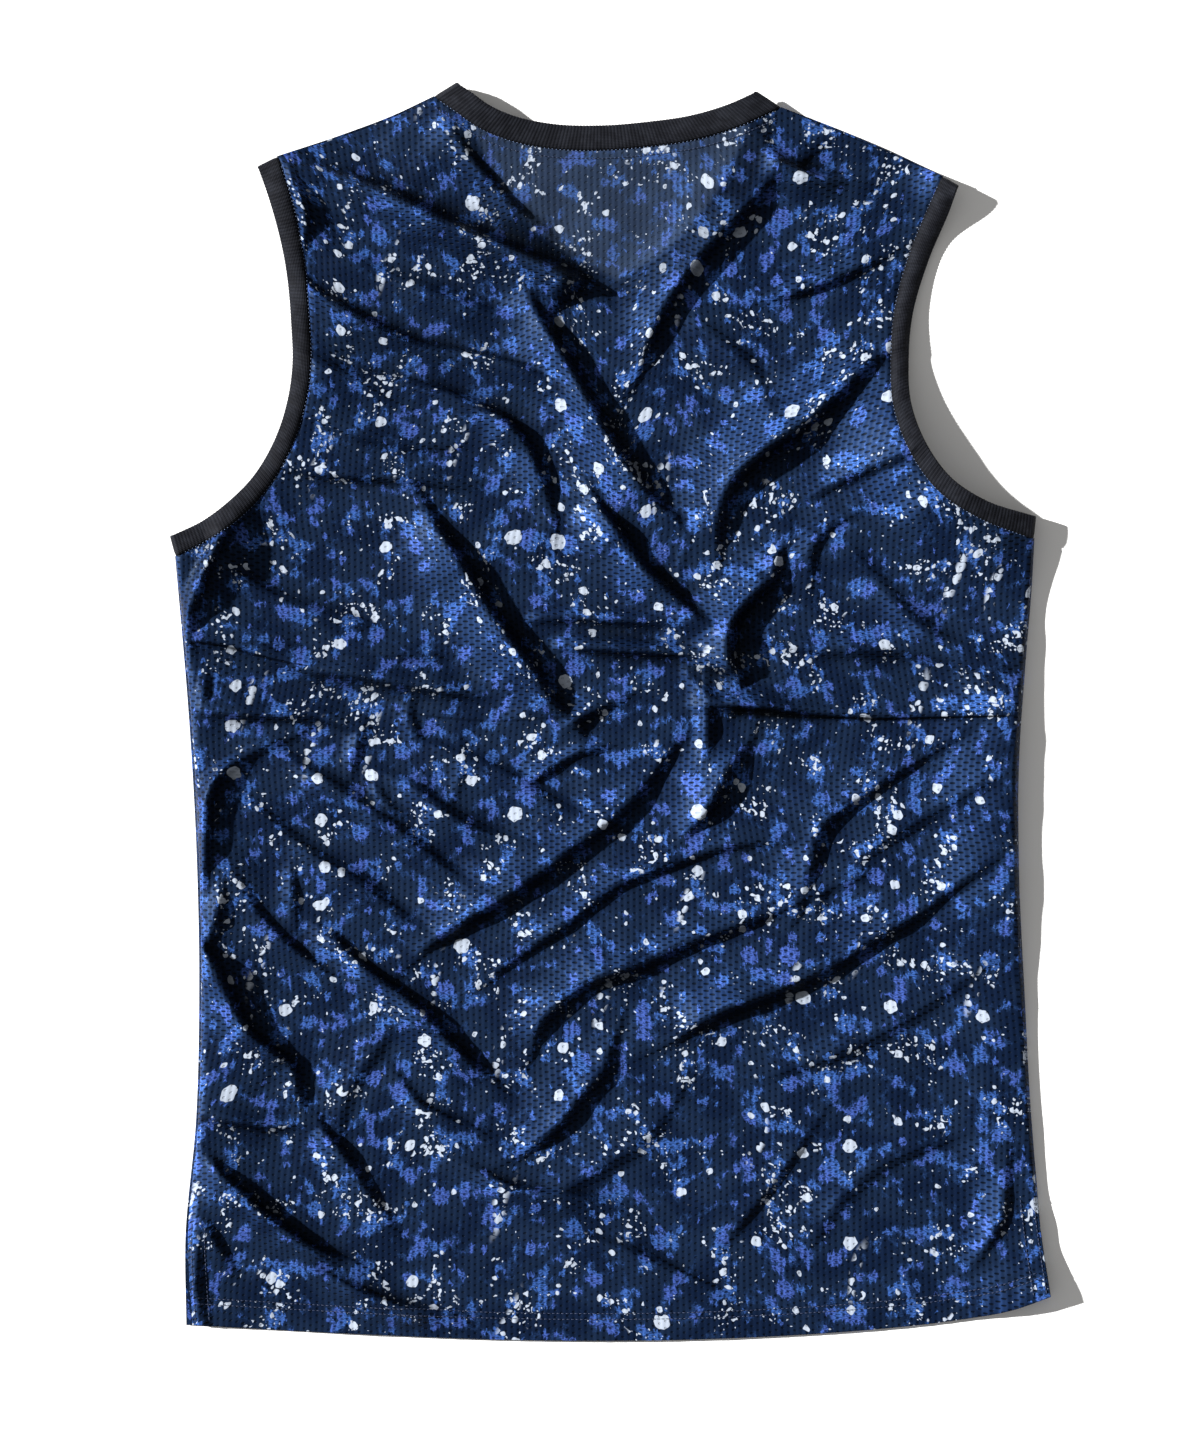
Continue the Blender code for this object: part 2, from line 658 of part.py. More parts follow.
def moved_out(plan, height_of, distance):
    """The points of a layer's underside over a plan, moved out along its normals."""
    flat = plan.reshape(-1, 2)
    steps = SLOPE_STEP * np.eye(2)
    slopes = [(height_of(flat + step) - height_of(flat - step)) / (2.0 * SLOPE_STEP) for step in steps]
    normal = np.stack([-slopes[0], -slopes[1], np.ones(len(flat))], axis=1)
    normal /= np.linalg.norm(normal, axis=1)[:, None]
    points = np.column_stack([flat, height_of(flat)]) + normal * distance
    return points.reshape(plan.shape[:2] + (3,))


def strip(edge, seam, shares, height_of, starts=True, ends=True):
    """The middle surface of a rib strip: rows from its seam to its edge, at the layer's height."""
    outer = drawn_in(smooth_curve(edge, shares), starts, ends)
    inner = drawn_in(smooth_curve(seam, shares), starts, ends)
    start = SEAM_GAP / np.linalg.norm(outer - inner, axis=1)[:, None]
    steps = [start, 0.5 * (1.0 + start), np.ones_like(start)]
    plan = np.stack([inner + (outer - inner) * step for step in steps], axis=1)
    return moved_out(plan, height_of, 0.5 * RIB)


def turn(last, first, towards):
    """The rib's turn from the end of one strip to the start of the strip under or over it."""
    centre = 0.5 * (last + first)
    half = 0.5 * (last - first)
    angles = np.pi * np.arange(1, TURN_SECTIONS) / TURN_SECTIONS
    out = np.append(towards, 0.0) * (TURN_REACH - 0.5 * RIB)
    return np.stack([centre + half * np.cos(a) + out * np.sin(a) for a in angles])


def outward(strip_rows):
    """The plan direction square to a strip's last row, away from the strip."""
    section = (strip_rows[-1, -1] - strip_rows[-1, 0])[:2]
    square = np.array([section[1], -section[0]]) / np.linalg.norm(section)
    run = (strip_rows[-1] - strip_rows[-2]).mean(axis=0)[:2]
    return square * np.sign(square @ run)


def ring_object(home, name, sections, material):
    """A rib as a closed ring of sections, given its wall."""
    obj = bpy.data.objects.new(name, grid_mesh(name, sections, closed=True))
    add_wall(obj, RIB, 0.0)
    obj.data.materials.append(material)
    home.objects.link(obj)
    return obj


def ring_of(upper, lower):
    """A flattened ring: the upper strip, a turn, the lower strip and a turn back."""
    far = turn(upper[-1], lower[0], outward(upper))
    near = turn(lower[-1], upper[0], outward(lower))
    return np.concatenate([upper, far, lower, near])


def add_armhole_rib(home, name, edge, seam, material, flip):
    """An armhole's rib: a back strip and a front strip, joined over the shoulder and at the armpit."""
    upper = strip(edge, seam, yoke_shares(), back_height)
    lower = strip(edge, seam, yoke_shares(), front_height)[::-1]
    sections = ring_of(upper, lower)
    return ring_object(home, name, sections[:, ::flip], material)


def add_neck_rib(home, back_across, front_across, material):
    """The neck's rib: a shallow back strip on top and a mitred V under it."""
    first, last = neck_columns(back_across)
    across_back = part_shares(back_across, first, last)
    upper = strip(BACK_NECK, BACK_NECK_SEAM, across_back, back_height)
    first, last = neck_columns(front_across)
    point = (first + last) // 2
    down_right = 1.0 - part_shares(front_across, point, last)[::-1]
    down_left = part_shares(front_across, first, point)
    right_leg = strip(RIGHT_V, RIGHT_V_SEAM, down_right, front_height, ends=False)
    left_leg = strip(LEFT_V, LEFT_V_SEAM, down_left, front_height, ends=False)
    lower = np.concatenate([right_leg, left_leg[::-1][1:]])
    return ring_object(home, "neck_rib", ring_of(upper, lower)[:, ::-1], material)


def cloth_material(name, color, roughness):
    """A plain cloth finish."""
    material = bpy.data.materials.new(name)
    material.use_nodes = True
    shader = material.node_tree.nodes["Principled BSDF"]
    shader.inputs["Base Color"].default_value = (*color, 1.0)
    shader.inputs["Roughness"].default_value = roughness
    shader.inputs["Metallic"].default_value = 0.0
    return material


def clear_scene():
    """Removes the objects that a new file opens with."""
    for obj in list(bpy.data.objects):
        bpy.data.objects.remove(obj, do_unlink=True)


def build():
    """Makes the five pieces in their own collection."""
    clear_scene()
    home = bpy.data.collections.new(COLLECTION)
    bpy.context.scene.collection.children.link(home)
    back_across = column_shares(BACK_STEP)
    front_across = column_shares(FRONT_STEP)
    front_left = front_left_side()
    front_hem = (front_left[0], *HEM[1:])
    v_seam = [LEFT_V_SEAM, RIGHT_V_SEAM[::-1]]
    front = panel_grid(front_across, v_seam, front_left, RIGHT_SIDE, front_hem)
    back = panel_grid(back_across, [BACK_NECK_SEAM], LEFT_SIDE, RIGHT_SIDE, HEM)
    lying = front_height(front.reshape(-1, 2))
    folded = back_height(back.reshape(-1, 2))
    knit = [cloth_material(f"{side}_knit", NAVY, KNIT_ROUGHNESS) for side in ("front", "back")]
    add_panel(home, "front_panel", front, lying, knit[0])
    add_panel(home, "back_panel", inset_sides(back), folded, knit[1])
    for side, edge, seam, flip in (
        ("left", LEFT_ARMHOLE, LEFT_ARM_SEAM, 1),
        ("right", RIGHT_ARMHOLE, RIGHT_ARM_SEAM, -1),
    ):
        finish = cloth_material(f"{side}_rib", CHARCOAL, RIB_ROUGHNESS)
        add_armhole_rib(home, f"armhole_rib_{side}", edge, seam, finish, flip)
    add_neck_rib(home, back_across, front_across, cloth_material("neck_rib", CHARCOAL, RIB_ROUGHNESS))


build()
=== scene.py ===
"""The looks of a running singlet that lies flat with its back up.

Two panels of printed mesh knit lie on each other, with ribbed bands round the neck
and both armholes, a turned hem, a short vent at the foot of each side seam and the
rows of stitches that hold them. All sizes are in metres unless a name ends in _mm,
+Z is up and +Y runs from the hem to the neck.
"""

import logging
import math
from dataclasses import dataclass
from enum import Enum
from typing import Callable, NamedTuple, Sequence

import bpy
import numpy as np
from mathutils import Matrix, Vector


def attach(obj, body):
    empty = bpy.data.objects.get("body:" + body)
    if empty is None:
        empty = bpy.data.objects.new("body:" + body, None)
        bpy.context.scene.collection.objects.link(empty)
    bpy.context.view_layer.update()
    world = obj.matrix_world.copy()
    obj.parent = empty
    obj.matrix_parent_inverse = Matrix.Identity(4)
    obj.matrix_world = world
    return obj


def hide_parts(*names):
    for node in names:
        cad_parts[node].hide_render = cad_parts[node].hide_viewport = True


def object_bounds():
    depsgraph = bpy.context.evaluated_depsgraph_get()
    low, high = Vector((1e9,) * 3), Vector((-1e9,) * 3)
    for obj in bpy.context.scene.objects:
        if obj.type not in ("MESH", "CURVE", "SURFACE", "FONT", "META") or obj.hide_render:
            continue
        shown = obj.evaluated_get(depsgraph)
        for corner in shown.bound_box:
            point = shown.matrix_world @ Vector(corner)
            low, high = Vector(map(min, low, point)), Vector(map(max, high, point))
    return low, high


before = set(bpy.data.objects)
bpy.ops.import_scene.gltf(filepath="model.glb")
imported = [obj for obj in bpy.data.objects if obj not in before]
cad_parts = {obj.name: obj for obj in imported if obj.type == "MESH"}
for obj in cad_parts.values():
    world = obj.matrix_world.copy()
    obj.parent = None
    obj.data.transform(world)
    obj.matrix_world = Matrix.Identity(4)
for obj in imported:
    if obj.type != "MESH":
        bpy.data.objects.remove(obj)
CAD_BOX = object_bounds()

log = logging.getLogger("running_singlet")
Array = np.ndarray
Socket = bpy.types.NodeSocket
Colour = tuple[float, float, float]
HeightOf = Callable[[Array], Array]

MM = 0.001
CLOTH = 0.0012  # how thick a panel counts as where layers lie on each other
TURNED_EXTRA = 0.0007  # what the turned hem adds to that
RIB = 0.0016
LAYER_GAP = 0.0003
HEM_DEPTH = 0.016
VENT_HEIGHT = 0.058
LINE_STEPS = 48  # fine steps along an outline
RAKE = np.array([0.97, -0.25])  # the way the light travels, in plan
LIGHT_ELEVATION = math.radians(30.0)
FRAME_MIDDLE = np.array([-0.0061, -0.0046])  # the place straight below the camera
CAMERA_HEIGHT = 2.0


class Side(Enum):
    """The left or right of the garment as it lies, and the way its seam lies from its edge."""

    LEFT = 1
    RIGHT = -1


class EdgePoint(NamedTuple):
    """One point of an edge, and the rib's width there."""

    x: float
    y: float
    width: float


class Lift(NamedTuple):
    """A place where the layers stand off the floor, and the front's share of that height."""

    x: float
    y: float
    height: float
    reach: float
    front_share: float


class Rise(NamedTuple):
    """How high the back stands at one place along an armhole's edge."""

    share: float
    height: float


class Level(NamedTuple):
    """The height of the rolled side edges at one level."""

    y: float
    left: float
    right: float


class Fold(NamedTuple):
    """A fold: its path runs along the middle of its dark side, with that side's width.

    Its gentle side is this wide, it dies out within this distance of the garment's edge, and
    its steep side is this share of the dark side's width.
    """

    name: str
    gentle_mm: float
    path_mm: tuple[tuple[float, float, float], ...]
    keep: float = 0.014
    steep: float = 0.44


def rows_of(kind: Callable, *rows: Sequence) -> tuple:
    """A table, each of whose rows is one of this kind."""
    return tuple(kind(*row) for row in rows)


HEM = (
    (-0.2415, -0.3540), (-0.1360, -0.3597), (-0.0586, -0.3626), (0.0401, -0.3626),
    (0.1088, -0.3597), (0.1493, -0.3568), (0.2006, -0.3511), (0.2330, -0.3453), (0.2543, -0.3378),
)
LEFT_SIDE = (
    (-0.2415, -0.3540), (-0.2440, -0.3049), (-0.2382, -0.2356), (-0.2364, -0.1547),
    (-0.2382, -0.0739), (-0.2422, -0.0046), (-0.2486, 0.0647), (-0.2515, 0.0900),
)
RIGHT_SIDE = (
    (0.2543, -0.3378), (0.2492, -0.3049), (0.2424, -0.2356), (0.2386, -0.1663), (0.2355, -0.0970),
    (0.2354, -0.0277), (0.2384, 0.0200), (0.2420, 0.0647), (0.2445, 0.1000),
)
LEFT_ARMHOLE = rows_of(
    EdgePoint,
    (-0.2543, 0.1010, 0.0110), (-0.2341, 0.1109, 0.0105), (-0.2191, 0.1224, 0.0105),
    (-0.2076, 0.1340, 0.0102), (-0.1937, 0.1570, 0.0100), (-0.1862, 0.1801, 0.0100),
    (-0.1833, 0.2032, 0.0100), (-0.1839, 0.2206, 0.0100), (-0.1879, 0.2610, 0.0105),
    (-0.1966, 0.2956, 0.0120), (-0.2035, 0.3153, 0.0124),
)
RIGHT_ARMHOLE = rows_of(
    EdgePoint,
    (0.2457, 0.1125, 0.0110), (0.2157, 0.1224, 0.0102), (0.1978, 0.1340, 0.0100),
    (0.1810, 0.1570, 0.0098), (0.1729, 0.1801, 0.0096), (0.1718, 0.2032, 0.0096),
    (0.1735, 0.2263, 0.0100), (0.1833, 0.2610, 0.0110), (0.1955, 0.2900, 0.0112),
    (0.2006, 0.3043, 0.0105),
)
NECK_RIB_WIDTH = 0.0137


def neck_edge(*points: tuple[float, float]) -> tuple[EdgePoint, ...]:
    """An edge whose rib has the neck's width all along."""
    return tuple(EdgePoint(x, y, NECK_RIB_WIDTH) for x, y in points)


BACK_NECK = neck_edge(
    (-0.0892, 0.3632), (-0.0811, 0.3580), (-0.0696, 0.3499), (-0.0580, 0.3447), (-0.0349, 0.3395),
    (-0.0060, 0.3384), (0.0228, 0.3407), (0.0459, 0.3441), (0.0690, 0.3510), (0.0846, 0.3580),
)
LEFT_V = neck_edge(
    (-0.0892, 0.3632), (-0.0825, 0.3420), (-0.0730, 0.3190), (-0.0575, 0.2930), (-0.0310, 0.2675),
    (0.0040, 0.2480),
)
RIGHT_V = neck_edge(
    (0.0846, 0.3580), (0.0800, 0.3380), (0.0710, 0.3160), (0.0560, 0.2910), (0.0340, 0.2670),
    (0.0040, 0.2480),
)
LEFT_ARMPIT = (-0.2515, 0.0900)
RIGHT_ARMPIT = (0.2445, 0.1000)
LEFT_SHOULDER = (-0.1926, 0.3210)
RIGHT_SHOULDER = (0.1920, 0.3095)
LEFT_NECK = (-0.1020, 0.3557)
RIGHT_NECK = (0.0985, 0.3493)
V_POINT = (0.0040, 0.2305)
LEFT_SHOULDER_LINE = (LEFT_SHOULDER, (-0.1540, 0.3325), (-0.1250, 0.3435), LEFT_NECK)
RIGHT_SHOULDER_LINE = (RIGHT_NECK, (0.1270, 0.3370), (0.1590, 0.3235), RIGHT_SHOULDER)

ROLLS = rows_of(
    Level,
    (-0.360, 0.0024, 0.0022), (-0.300, 0.0042, 0.0030), (-0.270, 0.0045, 0.0033),
    (-0.235, 0.0049, 0.0035), (-0.200, 0.0052, 0.0033), (-0.175, 0.0053, 0.0037),
    (-0.150, 0.0054, 0.0046), (-0.130, 0.0055, 0.0068), (-0.105, 0.0056, 0.0080),
    (-0.060, 0.0058, 0.0082), (-0.010, 0.0060, 0.0085), (0.020, 0.0060, 0.0069),
    (0.045, 0.0060, 0.0050), (0.065, 0.0060, 0.0040), (0.085, 0.0056, 0.0037),
    (0.110, 0.0050, 0.0040),
)
LIFTS = rows_of(
    Lift,
    (-0.086, 0.360, 0.0104, 0.040, 0.30), (0.085, 0.356, 0.0070, 0.034, 1.00),
    (-0.200, 0.314, 0.0070, 0.032, 1.00), (0.200, 0.304, 0.0106, 0.021, 1.00),
    (-0.254, 0.096, 0.0070, 0.036, 1.00), (0.245, 0.106, 0.0035, 0.032, 1.00),
    (0.252, -0.342, 0.0060, 0.026, 0.60), (0.146, 0.328, 0.0040, 0.034, 1.00),
)
LEFT_RISES = rows_of(
    Rise,
    (0.0, 0.0012), (0.15, 0.0036), (0.5, 0.0066), (0.85, 0.0036), (1.0, 0.0012),
)
RIGHT_RISES = rows_of(
    Rise,
    (0.0, 0.0014), (0.05, 0.0064), (0.10, 0.0128), (0.15, 0.0180), (0.20, 0.0204), (0.27, 0.0200),
    (0.35, 0.0178), (0.41, 0.0156), (0.44, 0.0130), (0.475, 0.0084), (0.53, 0.0056), (0.59, 0.0044),
    (0.65, 0.0030), (0.72, 0.0016), (0.80, 0.0008), (1.0, 0.0008),
)

# Each row is x, y and the width of the dark side, in millimetres.
FOLDS = rows_of(
    Fold,
    ("neck_left", 34, ((-166, 314, 3), (-148, 311, 6), (-131, 306, 8), (-104, 294, 11), (-81, 284, 12),
        (-60, 275, 12), (-37, 266, 13), (-22, 259, 14), (-12, 252, 9), (-7, 246, 3))),
    ("v_left", 20, ((-88, 334, 2), (-78, 322, 5), (-68, 311, 6), (-51, 292, 6), (-38, 280, 2))),
    ("chest_mid", 40, ((-50, 252, 2), (-43, 243, 7), (-34, 229, 11), (-23, 214, 14), (-5, 184, 16),
        (11, 156, 16), (25, 133, 13), (35, 118, 6))),
    ("neck_right", 42, ((105, 312, 4), (97, 305, 8), (85, 288, 14), (66, 267, 15), (50, 247, 16),
        (34, 222, 15), (24, 204, 9), (18, 194, 3))),
    ("chest_right", 46, ((160, 206, 3), (153, 198, 9), (135, 176, 16), (117, 158, 18), (97, 144, 19),
        (78, 128, 17), (69, 108, 13), (65, 93, 5))),
    ("chest_left", 30, ((-164, 199, 2), (-120, 193, 4), (-96, 188, 5), (-78, 181, 6), (-60, 173, 8),
        (-46, 160, 9), (-37, 144, 11), (-32, 130, 11), (-31, 117, 5))),
    ("chest_soft", 22, ((-182, 262, 2), (-170, 246, 4), (-155, 238, 6), (-131, 225, 7), (-108, 215, 6),
        (-78, 209, 5), (-46, 200, 6), (-25, 186, 3))),
    ("chest_low", 24, ((-184, 139, 2), (-165, 135, 4), (-140, 132, 5), (-112, 131, 4), (-92, 129, 2))),
    ("chest_line", 18, ((-170, 205, 2), (-150, 196, 4), (-132, 186, 4), (-118, 178, 2))),
    ("waist_left", 44, ((-104, 120, 4), (-96, 110, 9), (-80, 90, 14), (-59, 57, 15), (-41, 33, 15),
        (-28, 11, 14), (-22, 0, 7))),
    ("centre", 34, ((-8, 128, 4), (-3, 122, 9), (12, 106, 13), (24, 87, 11), (36, 75, 9),
        (52, 59, 7), (60, 52, 4))),
    ("knot_top", 34, ((103, 96, 3), (102, 89, 11), (100, 74, 13), (90, 62, 17), (83, 48, 24),
        (81, 33, 24), (82, 21, 16), (78, 12, 6))),
    ("knot_side", 12, ((50, 110, 2), (47, 98, 4), (44, 84, 4), (42, 74, 2))),
    ("centre_stem", 12, ((58, 22, 3), (60, 12, 7), (62, 0, 11), (62, -12, 11), (60, -24, 8),
        (56, -33, 3))),
    ("waist_long", 46, ((42, -18, 3), (36, -28, 8), (26, -44, 11), (8, -65, 12), (-14, -82, 13),
        (-38, -100, 13), (-63, -116, 12), (-85, -128, 10), (-104, -139, 6),
        (-112, -145, 2))),
    ("waist_right", 36, ((82, -18, 3), (80, -24, 7), (75, -36, 14), (70, -50, 17), (62, -62, 15),
        (51, -70, 9), (43, -76, 3))),
    ("belly", 30, ((98, -76, 2), (70, -80, 4), (42, -89, 5), (6, -104, 7), (-9, -115, 7), (-26, -128, 7),
        (-42, -138, 6), (-59, -149, 5), (-68, -155, 2))),
    ("side_right", 36, ((194, -20, 2), (177, -32, 5), (156, -46, 6), (136, -61, 8), (126, -72, 11),
        (123, -87, 11), (119, -100, 11), (113, -111, 6))),
    ("side_right_low", 20, ((132, -96, 2), (127, -104, 4), (123, -114, 5), (121, -122, 2))),
    ("hip_right", 46, ((222, -87, 2), (214, -94, 4), (197, -107, 6), (185, -117, 7), (167, -129, 9),
        (147, -141, 9), (134, -149, 8), (119, -157, 9), (102, -165, 10), (85, -172, 11),
        (68, -178, 11), (54, -184, 8), (42, -189, 3))),
    ("hip_mid", 34, ((140, -99, 3), (86, -123, 6), (50, -137, 8), (36, -143, 9), (19, -151, 9),
        (4, -156, 9), (-10, -161, 10), (-25, -173, 11), (-37, -185, 10), (-42, -194, 4))),
    ("seat", 34, ((6, -186, 4), (4, -197, 8), (1, -210, 10), (-11, -224, 11), (-22, -239, 11),
        (-34, -249, 8), (-44, -254, 5), (-51, -257, 2))),
    ("hip_left", 32, ((-153, -134, 4), (-138, -146, 6), (-117, -161, 7), (-100, -175, 9), (-89, -187, 10),
        (-78, -199, 8), (-69, -209, 3))),
    ("side_left", 26, ((-238, -122, 4), (-232, -132, 9), (-222, -146, 12), (-212, -166, 13),
        (-204, -181, 12), (-195, -191, 8), (-184, -199, 6), (-177, -208, 9),
        (-175, -218, 10), (-174, -229, 5)), 0.003),
    ("side_nick", 16, ((-181, -84, 3), (-180, -94, 6), (-179, -107, 7), (-180, -119, 3))),
    ("side_under", 14, ((-235, -235, 3), (-213, -240, 5), (-188, -242, 4), (-172, -239, 2)), 0.004),
    ("side_dent", 9, ((-222, -99, 3), (-221, -109, 9), (-223, -121, 10), (-228, -129, 5)), 0.003),
    ("side_rise", 22, ((-212, -99, 2), (-199, -117, 4), (-181, -134, 5), (-163, -148, 4),
        (-150, -156, 2))),
    ("hem_left", 34, ((-237, -246, 3), (-224, -262, 6), (-211, -274, 7), (-196, -287, 8), (-183, -297, 8),
        (-168, -307, 7), (-151, -315, 3))),
    ("hem_low", 22, ((-178, -317, 2), (-163, -323, 4), (-148, -329, 6), (-128, -337, 6), (-112, -342, 5),
        (-96, -345, 2)), 0.010),
    ("hem_corner", 16, ((-233, -289, 2), (-228, -299, 6), (-222, -311, 5), (-219, -317, 2)), 0.006),
    ("vent_left", 7, ((-236, -288, 3), (-235, -300, 6), (-235, -330, 7), (-234, -349, 5)), 0.002),
    ("vent_right", 24, ((231, -262, 3), (232, -279, 7), (231, -291, 8), (225, -304, 7), (217, -313, 3))),
    ("hem_mid", 30, ((-169, -231, 2), (-161, -241, 6), (-149, -255, 8), (-139, -271, 7),
        (-130, -287, 3))),
    ("low_soft", 26, ((-78, -262, 2), (-60, -270, 5), (-40, -275, 5), (-20, -277, 4), (0, -282, 2))),
    ("low_right", 38, ((120, -238, 2), (110, -255, 4), (97, -273, 5), (82, -292, 5), (70, -305, 2))),
    ("low_left", 24, ((-118, -214, 2), (-108, -225, 4), (-92, -233, 4), (-76, -240, 2))),
    ("crease_right", 16, ((56, 1, 4), (70, 0, 7), (88, -1, 8), (104, -2, 6), (122, -3, 4), (160, -4, 3),
        (196, -3, 2), (222, -3, 1)), 0.014),
    ("crease_left", 16, ((-234, -1, 2), (-213, -3, 4), (-188, -4, 5), (-168, -5, 4), (-150, -10, 2)),
        0.006, 1.30),
    ("waist_line", 14, ((-244, 40, 2), (-223, 38, 3), (-205, 33, 4), (-188, 29, 3), (-174, 27, 2)),
        0.004),
    ("waist_band", 22, ((-196, 28, 2), (-176, 22, 5), (-150, 19, 6), (-122, 14, 6), (-100, 11, 5),
        (-80, 8, 2)), 0.006, 1.30),
    ("waist_upper", 20, ((-222, 47, 2), (-190, 40, 4), (-160, 34, 4), (-130, 31, 4), (-104, 30, 2)),
        0.006, 1.40),
    ("mid_top", 12, ((-40, 52, 2), (-20, 52, 4), (6, 50, 5), (34, 49, 4), (56, 48, 2))),
    ("mid_ridge", 9, ((-26, 36, 3), (-2, 33, 6), (24, 31, 7), (46, 30, 6), (62, 27, 3))),
    ("knot_left", 10, ((48, 22, 2), (56, 14, 5), (64, 8, 5), (70, 4, 2))),
    ("waist_soft", 30, ((-184, -25, 2), (-170, -34, 4), (-155, -43, 5), (-132, -58, 6), (-113, -73, 5),
        (-92, -90, 4), (-84, -97, 2)), 0.014, 1.25),
    ("waist_soft_right", 26, ((-123, -37, 2), (-110, -43, 4), (-95, -55, 5), (-80, -65, 5), (-63, -71, 4),
        (-46, -74, 2)), 0.014, 1.25),
    ("fork", 12, ((-141, -10, 3), (-142, -18, 6), (-145, -29, 6), (-147, -34, 2))),
    ("fork_right", 14, ((-114, 6, 2), (-113, -2, 4), (-109, -13, 4), (-107, -19, 2))),
    ("fork_low", 16, ((-84, -22, 2), (-82, -31, 6), (-84, -42, 5), (-88, -48, 2))),
    ("fork_left", 14, ((-134, -38, 2), (-131, -44, 5), (-126, -51, 5), (-120, -57, 2))),
    ("centre_low", 18, ((4, 4, 3), (-8, -3, 7), (-16, -8, 8), (-23, -12, 5), (-28, -16, 2))),
    ("centre_rise", 14, ((-55, -50, 2), (-46, -44, 5), (-34, -37, 7), (-16, -27, 7), (-5, -23, 4),
        (4, -20, 2))),
    ("shoulder_leaf", 8, ((-183, 316, 3), (-178, 307, 9), (-171, 295, 12), (-170, 284, 11),
        (-174, 272, 4)), 0.003),
    ("armpit_leaf", 8, ((-204, 122, 2), (-209, 112, 9), (-216, 99, 17), (-223, 83, 18), (-232, 66, 15),
        (-236, 57, 13), (-239, 48, 9), (-241, 41, 5), (-241, 36, 2)), 0.002),
    ("side_small", 7, ((-232, 19, 3), (-231, 11, 7), (-232, 2, 3)), 0.002),
    ("side_top", 16, ((-180, -14, 2), (-192, -19, 4), (-205, -25, 5), (-216, -33, 3)), 0.004, 1.30),
    ("side_leaf", 8, ((-207, -26, 2), (-215, -33, 8), (-222, -43, 14), (-225, -54, 16),
        (-226, -67, 15), (-228, -82, 12), (-232, -93, 4)), 0.002),
    ("shoulder_soft", 26, ((92, 330, 3), (100, 322, 7), (112, 316, 8), (126, 312, 6), (138, 310, 2))),
    ("arm_right", 24, ((160, 262, 2), (146, 254, 5), (128, 246, 6), (110, 240, 4), (96, 238, 2))),
    ("arm_right_low", 22, ((176, 150, 2), (160, 142, 4), (142, 134, 5), (124, 126, 3))),
    ("chest_right_soft", 24, ((140, 112, 2), (128, 104, 5), (120, 92, 6), (118, 80, 3))),
    ("soft_a", 24, ((-226, 92, 2), (-200, 72, 4), (-172, 60, 5), (-148, 54, 3)), 0.014, 1.4),
    ("soft_b", 26, ((150, 84, 2), (168, 64, 4), (186, 48, 5), (206, 38, 2)), 0.014, 1.4),
    ("soft_c", 24, ((92, 40, 2), (120, 34, 4), (152, 34, 5), (190, 30, 4), (218, 22, 2)), 0.014, 1.4),
    ("soft_d", 26, ((214, -44, 2), (180, -64, 4), (150, -84, 5), (136, -104, 2)), 0.014, 1.4),
    ("soft_e", 28, ((-96, -20, 2), (-60, -34, 4), (-30, -52, 5), (-6, -64, 2)), 0.014, 1.4),
    ("soft_f", 28, ((-196, -60, 2), (-172, -80, 4), (-140, -100, 5), (-112, -122, 3)), 0.014, 1.4),
    ("soft_g", 30, ((214, -150, 2), (176, -176, 4), (140, -196, 5), (104, -208, 2)), 0.014, 1.4),
    ("soft_h", 30, ((40, -222, 2), (24, -246, 4), (2, -262, 5), (-24, -276, 2)), 0.014, 1.4),
    ("soft_i", 26, ((-120, -180, 2), (-136, -200, 4), (-150, -222, 5), (-156, -244, 2)), 0.014, 1.4),
    ("soft_j", 26, ((-150, 262, 2), (-118, 250, 4), (-86, 238, 5), (-56, 228, 2)), 0.014, 1.4),
    ("soft_k", 24, ((60, 220, 2), (86, 196, 4), (96, 170, 5), (92, 150, 2)), 0.014, 1.4),
    ("soft_l", 26, ((-176, 172, 2), (-150, 160, 4), (-120, 152, 4), (-92, 152, 2)), 0.014, 1.4),
    ("soft_m", 28, ((190, -250, 2), (160, -262, 4), (136, -282, 5), (120, -304, 2)), 0.014, 1.4),
    ("soft_n", 28, ((-30, -300, 2), (0, -306, 4), (30, -318, 4), (56, -330, 2)), 0.014, 1.4),
)


class Crease(NamedTuple):
    """A tight crease: how dark the shade painted in its gap is, which also sets its step in the bump, and
    rows of x, y and half the gap's width, in millimetres.
    """

    depth: float
    path_mm: tuple[tuple[float, float, float], ...]


CREASES = rows_of(
    Crease,
    (1.0, ((54, 3, 1.6), (68, 1, 3.4), (86, 0, 3.4), (104, -2, 2.4), (124, -3, 1.2), (160, -4, 0.9),
        (200, -3, 0.8), (240, -2, 0.6))),
    (0.35, ((-236, -1, 1.2), (-213, -3, 2.6), (-188, -4, 3.2), (-168, -5, 2.8), (-158, -8, 1.8),
        (-150, -12, 0.8))),
    (0.8, ((-246, 41, 0.5), (-223, 38, 0.9), (-205, 33, 1.0), (-188, 29, 0.8), (-170, 26, 0.4))),
    (0.4, ((-176, 22, 1.0), (-150, 19, 2.2), (-122, 14, 2.4), (-100, 11, 1.8), (-80, 8, 0.8))),
    (0.4, ((-130, 2, 0.5), (-100, -3, 0.9), (-64, -5, 0.9), (-30, -3, 0.8), (0, -1, 0.5))),
)


def run_along(points: Array) -> Array:
    """The length of a chain up to each of its points."""
    return np.concatenate([[0.0], np.cumsum(np.linalg.norm(np.diff(points, axis=0), axis=1))])


def at_lengths(lengths: Array, run: Array, line: Array) -> Array:
    """The points of a chain at the given lengths, where run is its length up to each corner."""
    return np.stack([np.interp(lengths, run, column) for column in line.T], axis=1)


def unit(vectors: Array) -> Array:
    """Vectors scaled to a length of 1."""
    return vectors / np.linalg.norm(vectors, axis=-1, keepdims=True)


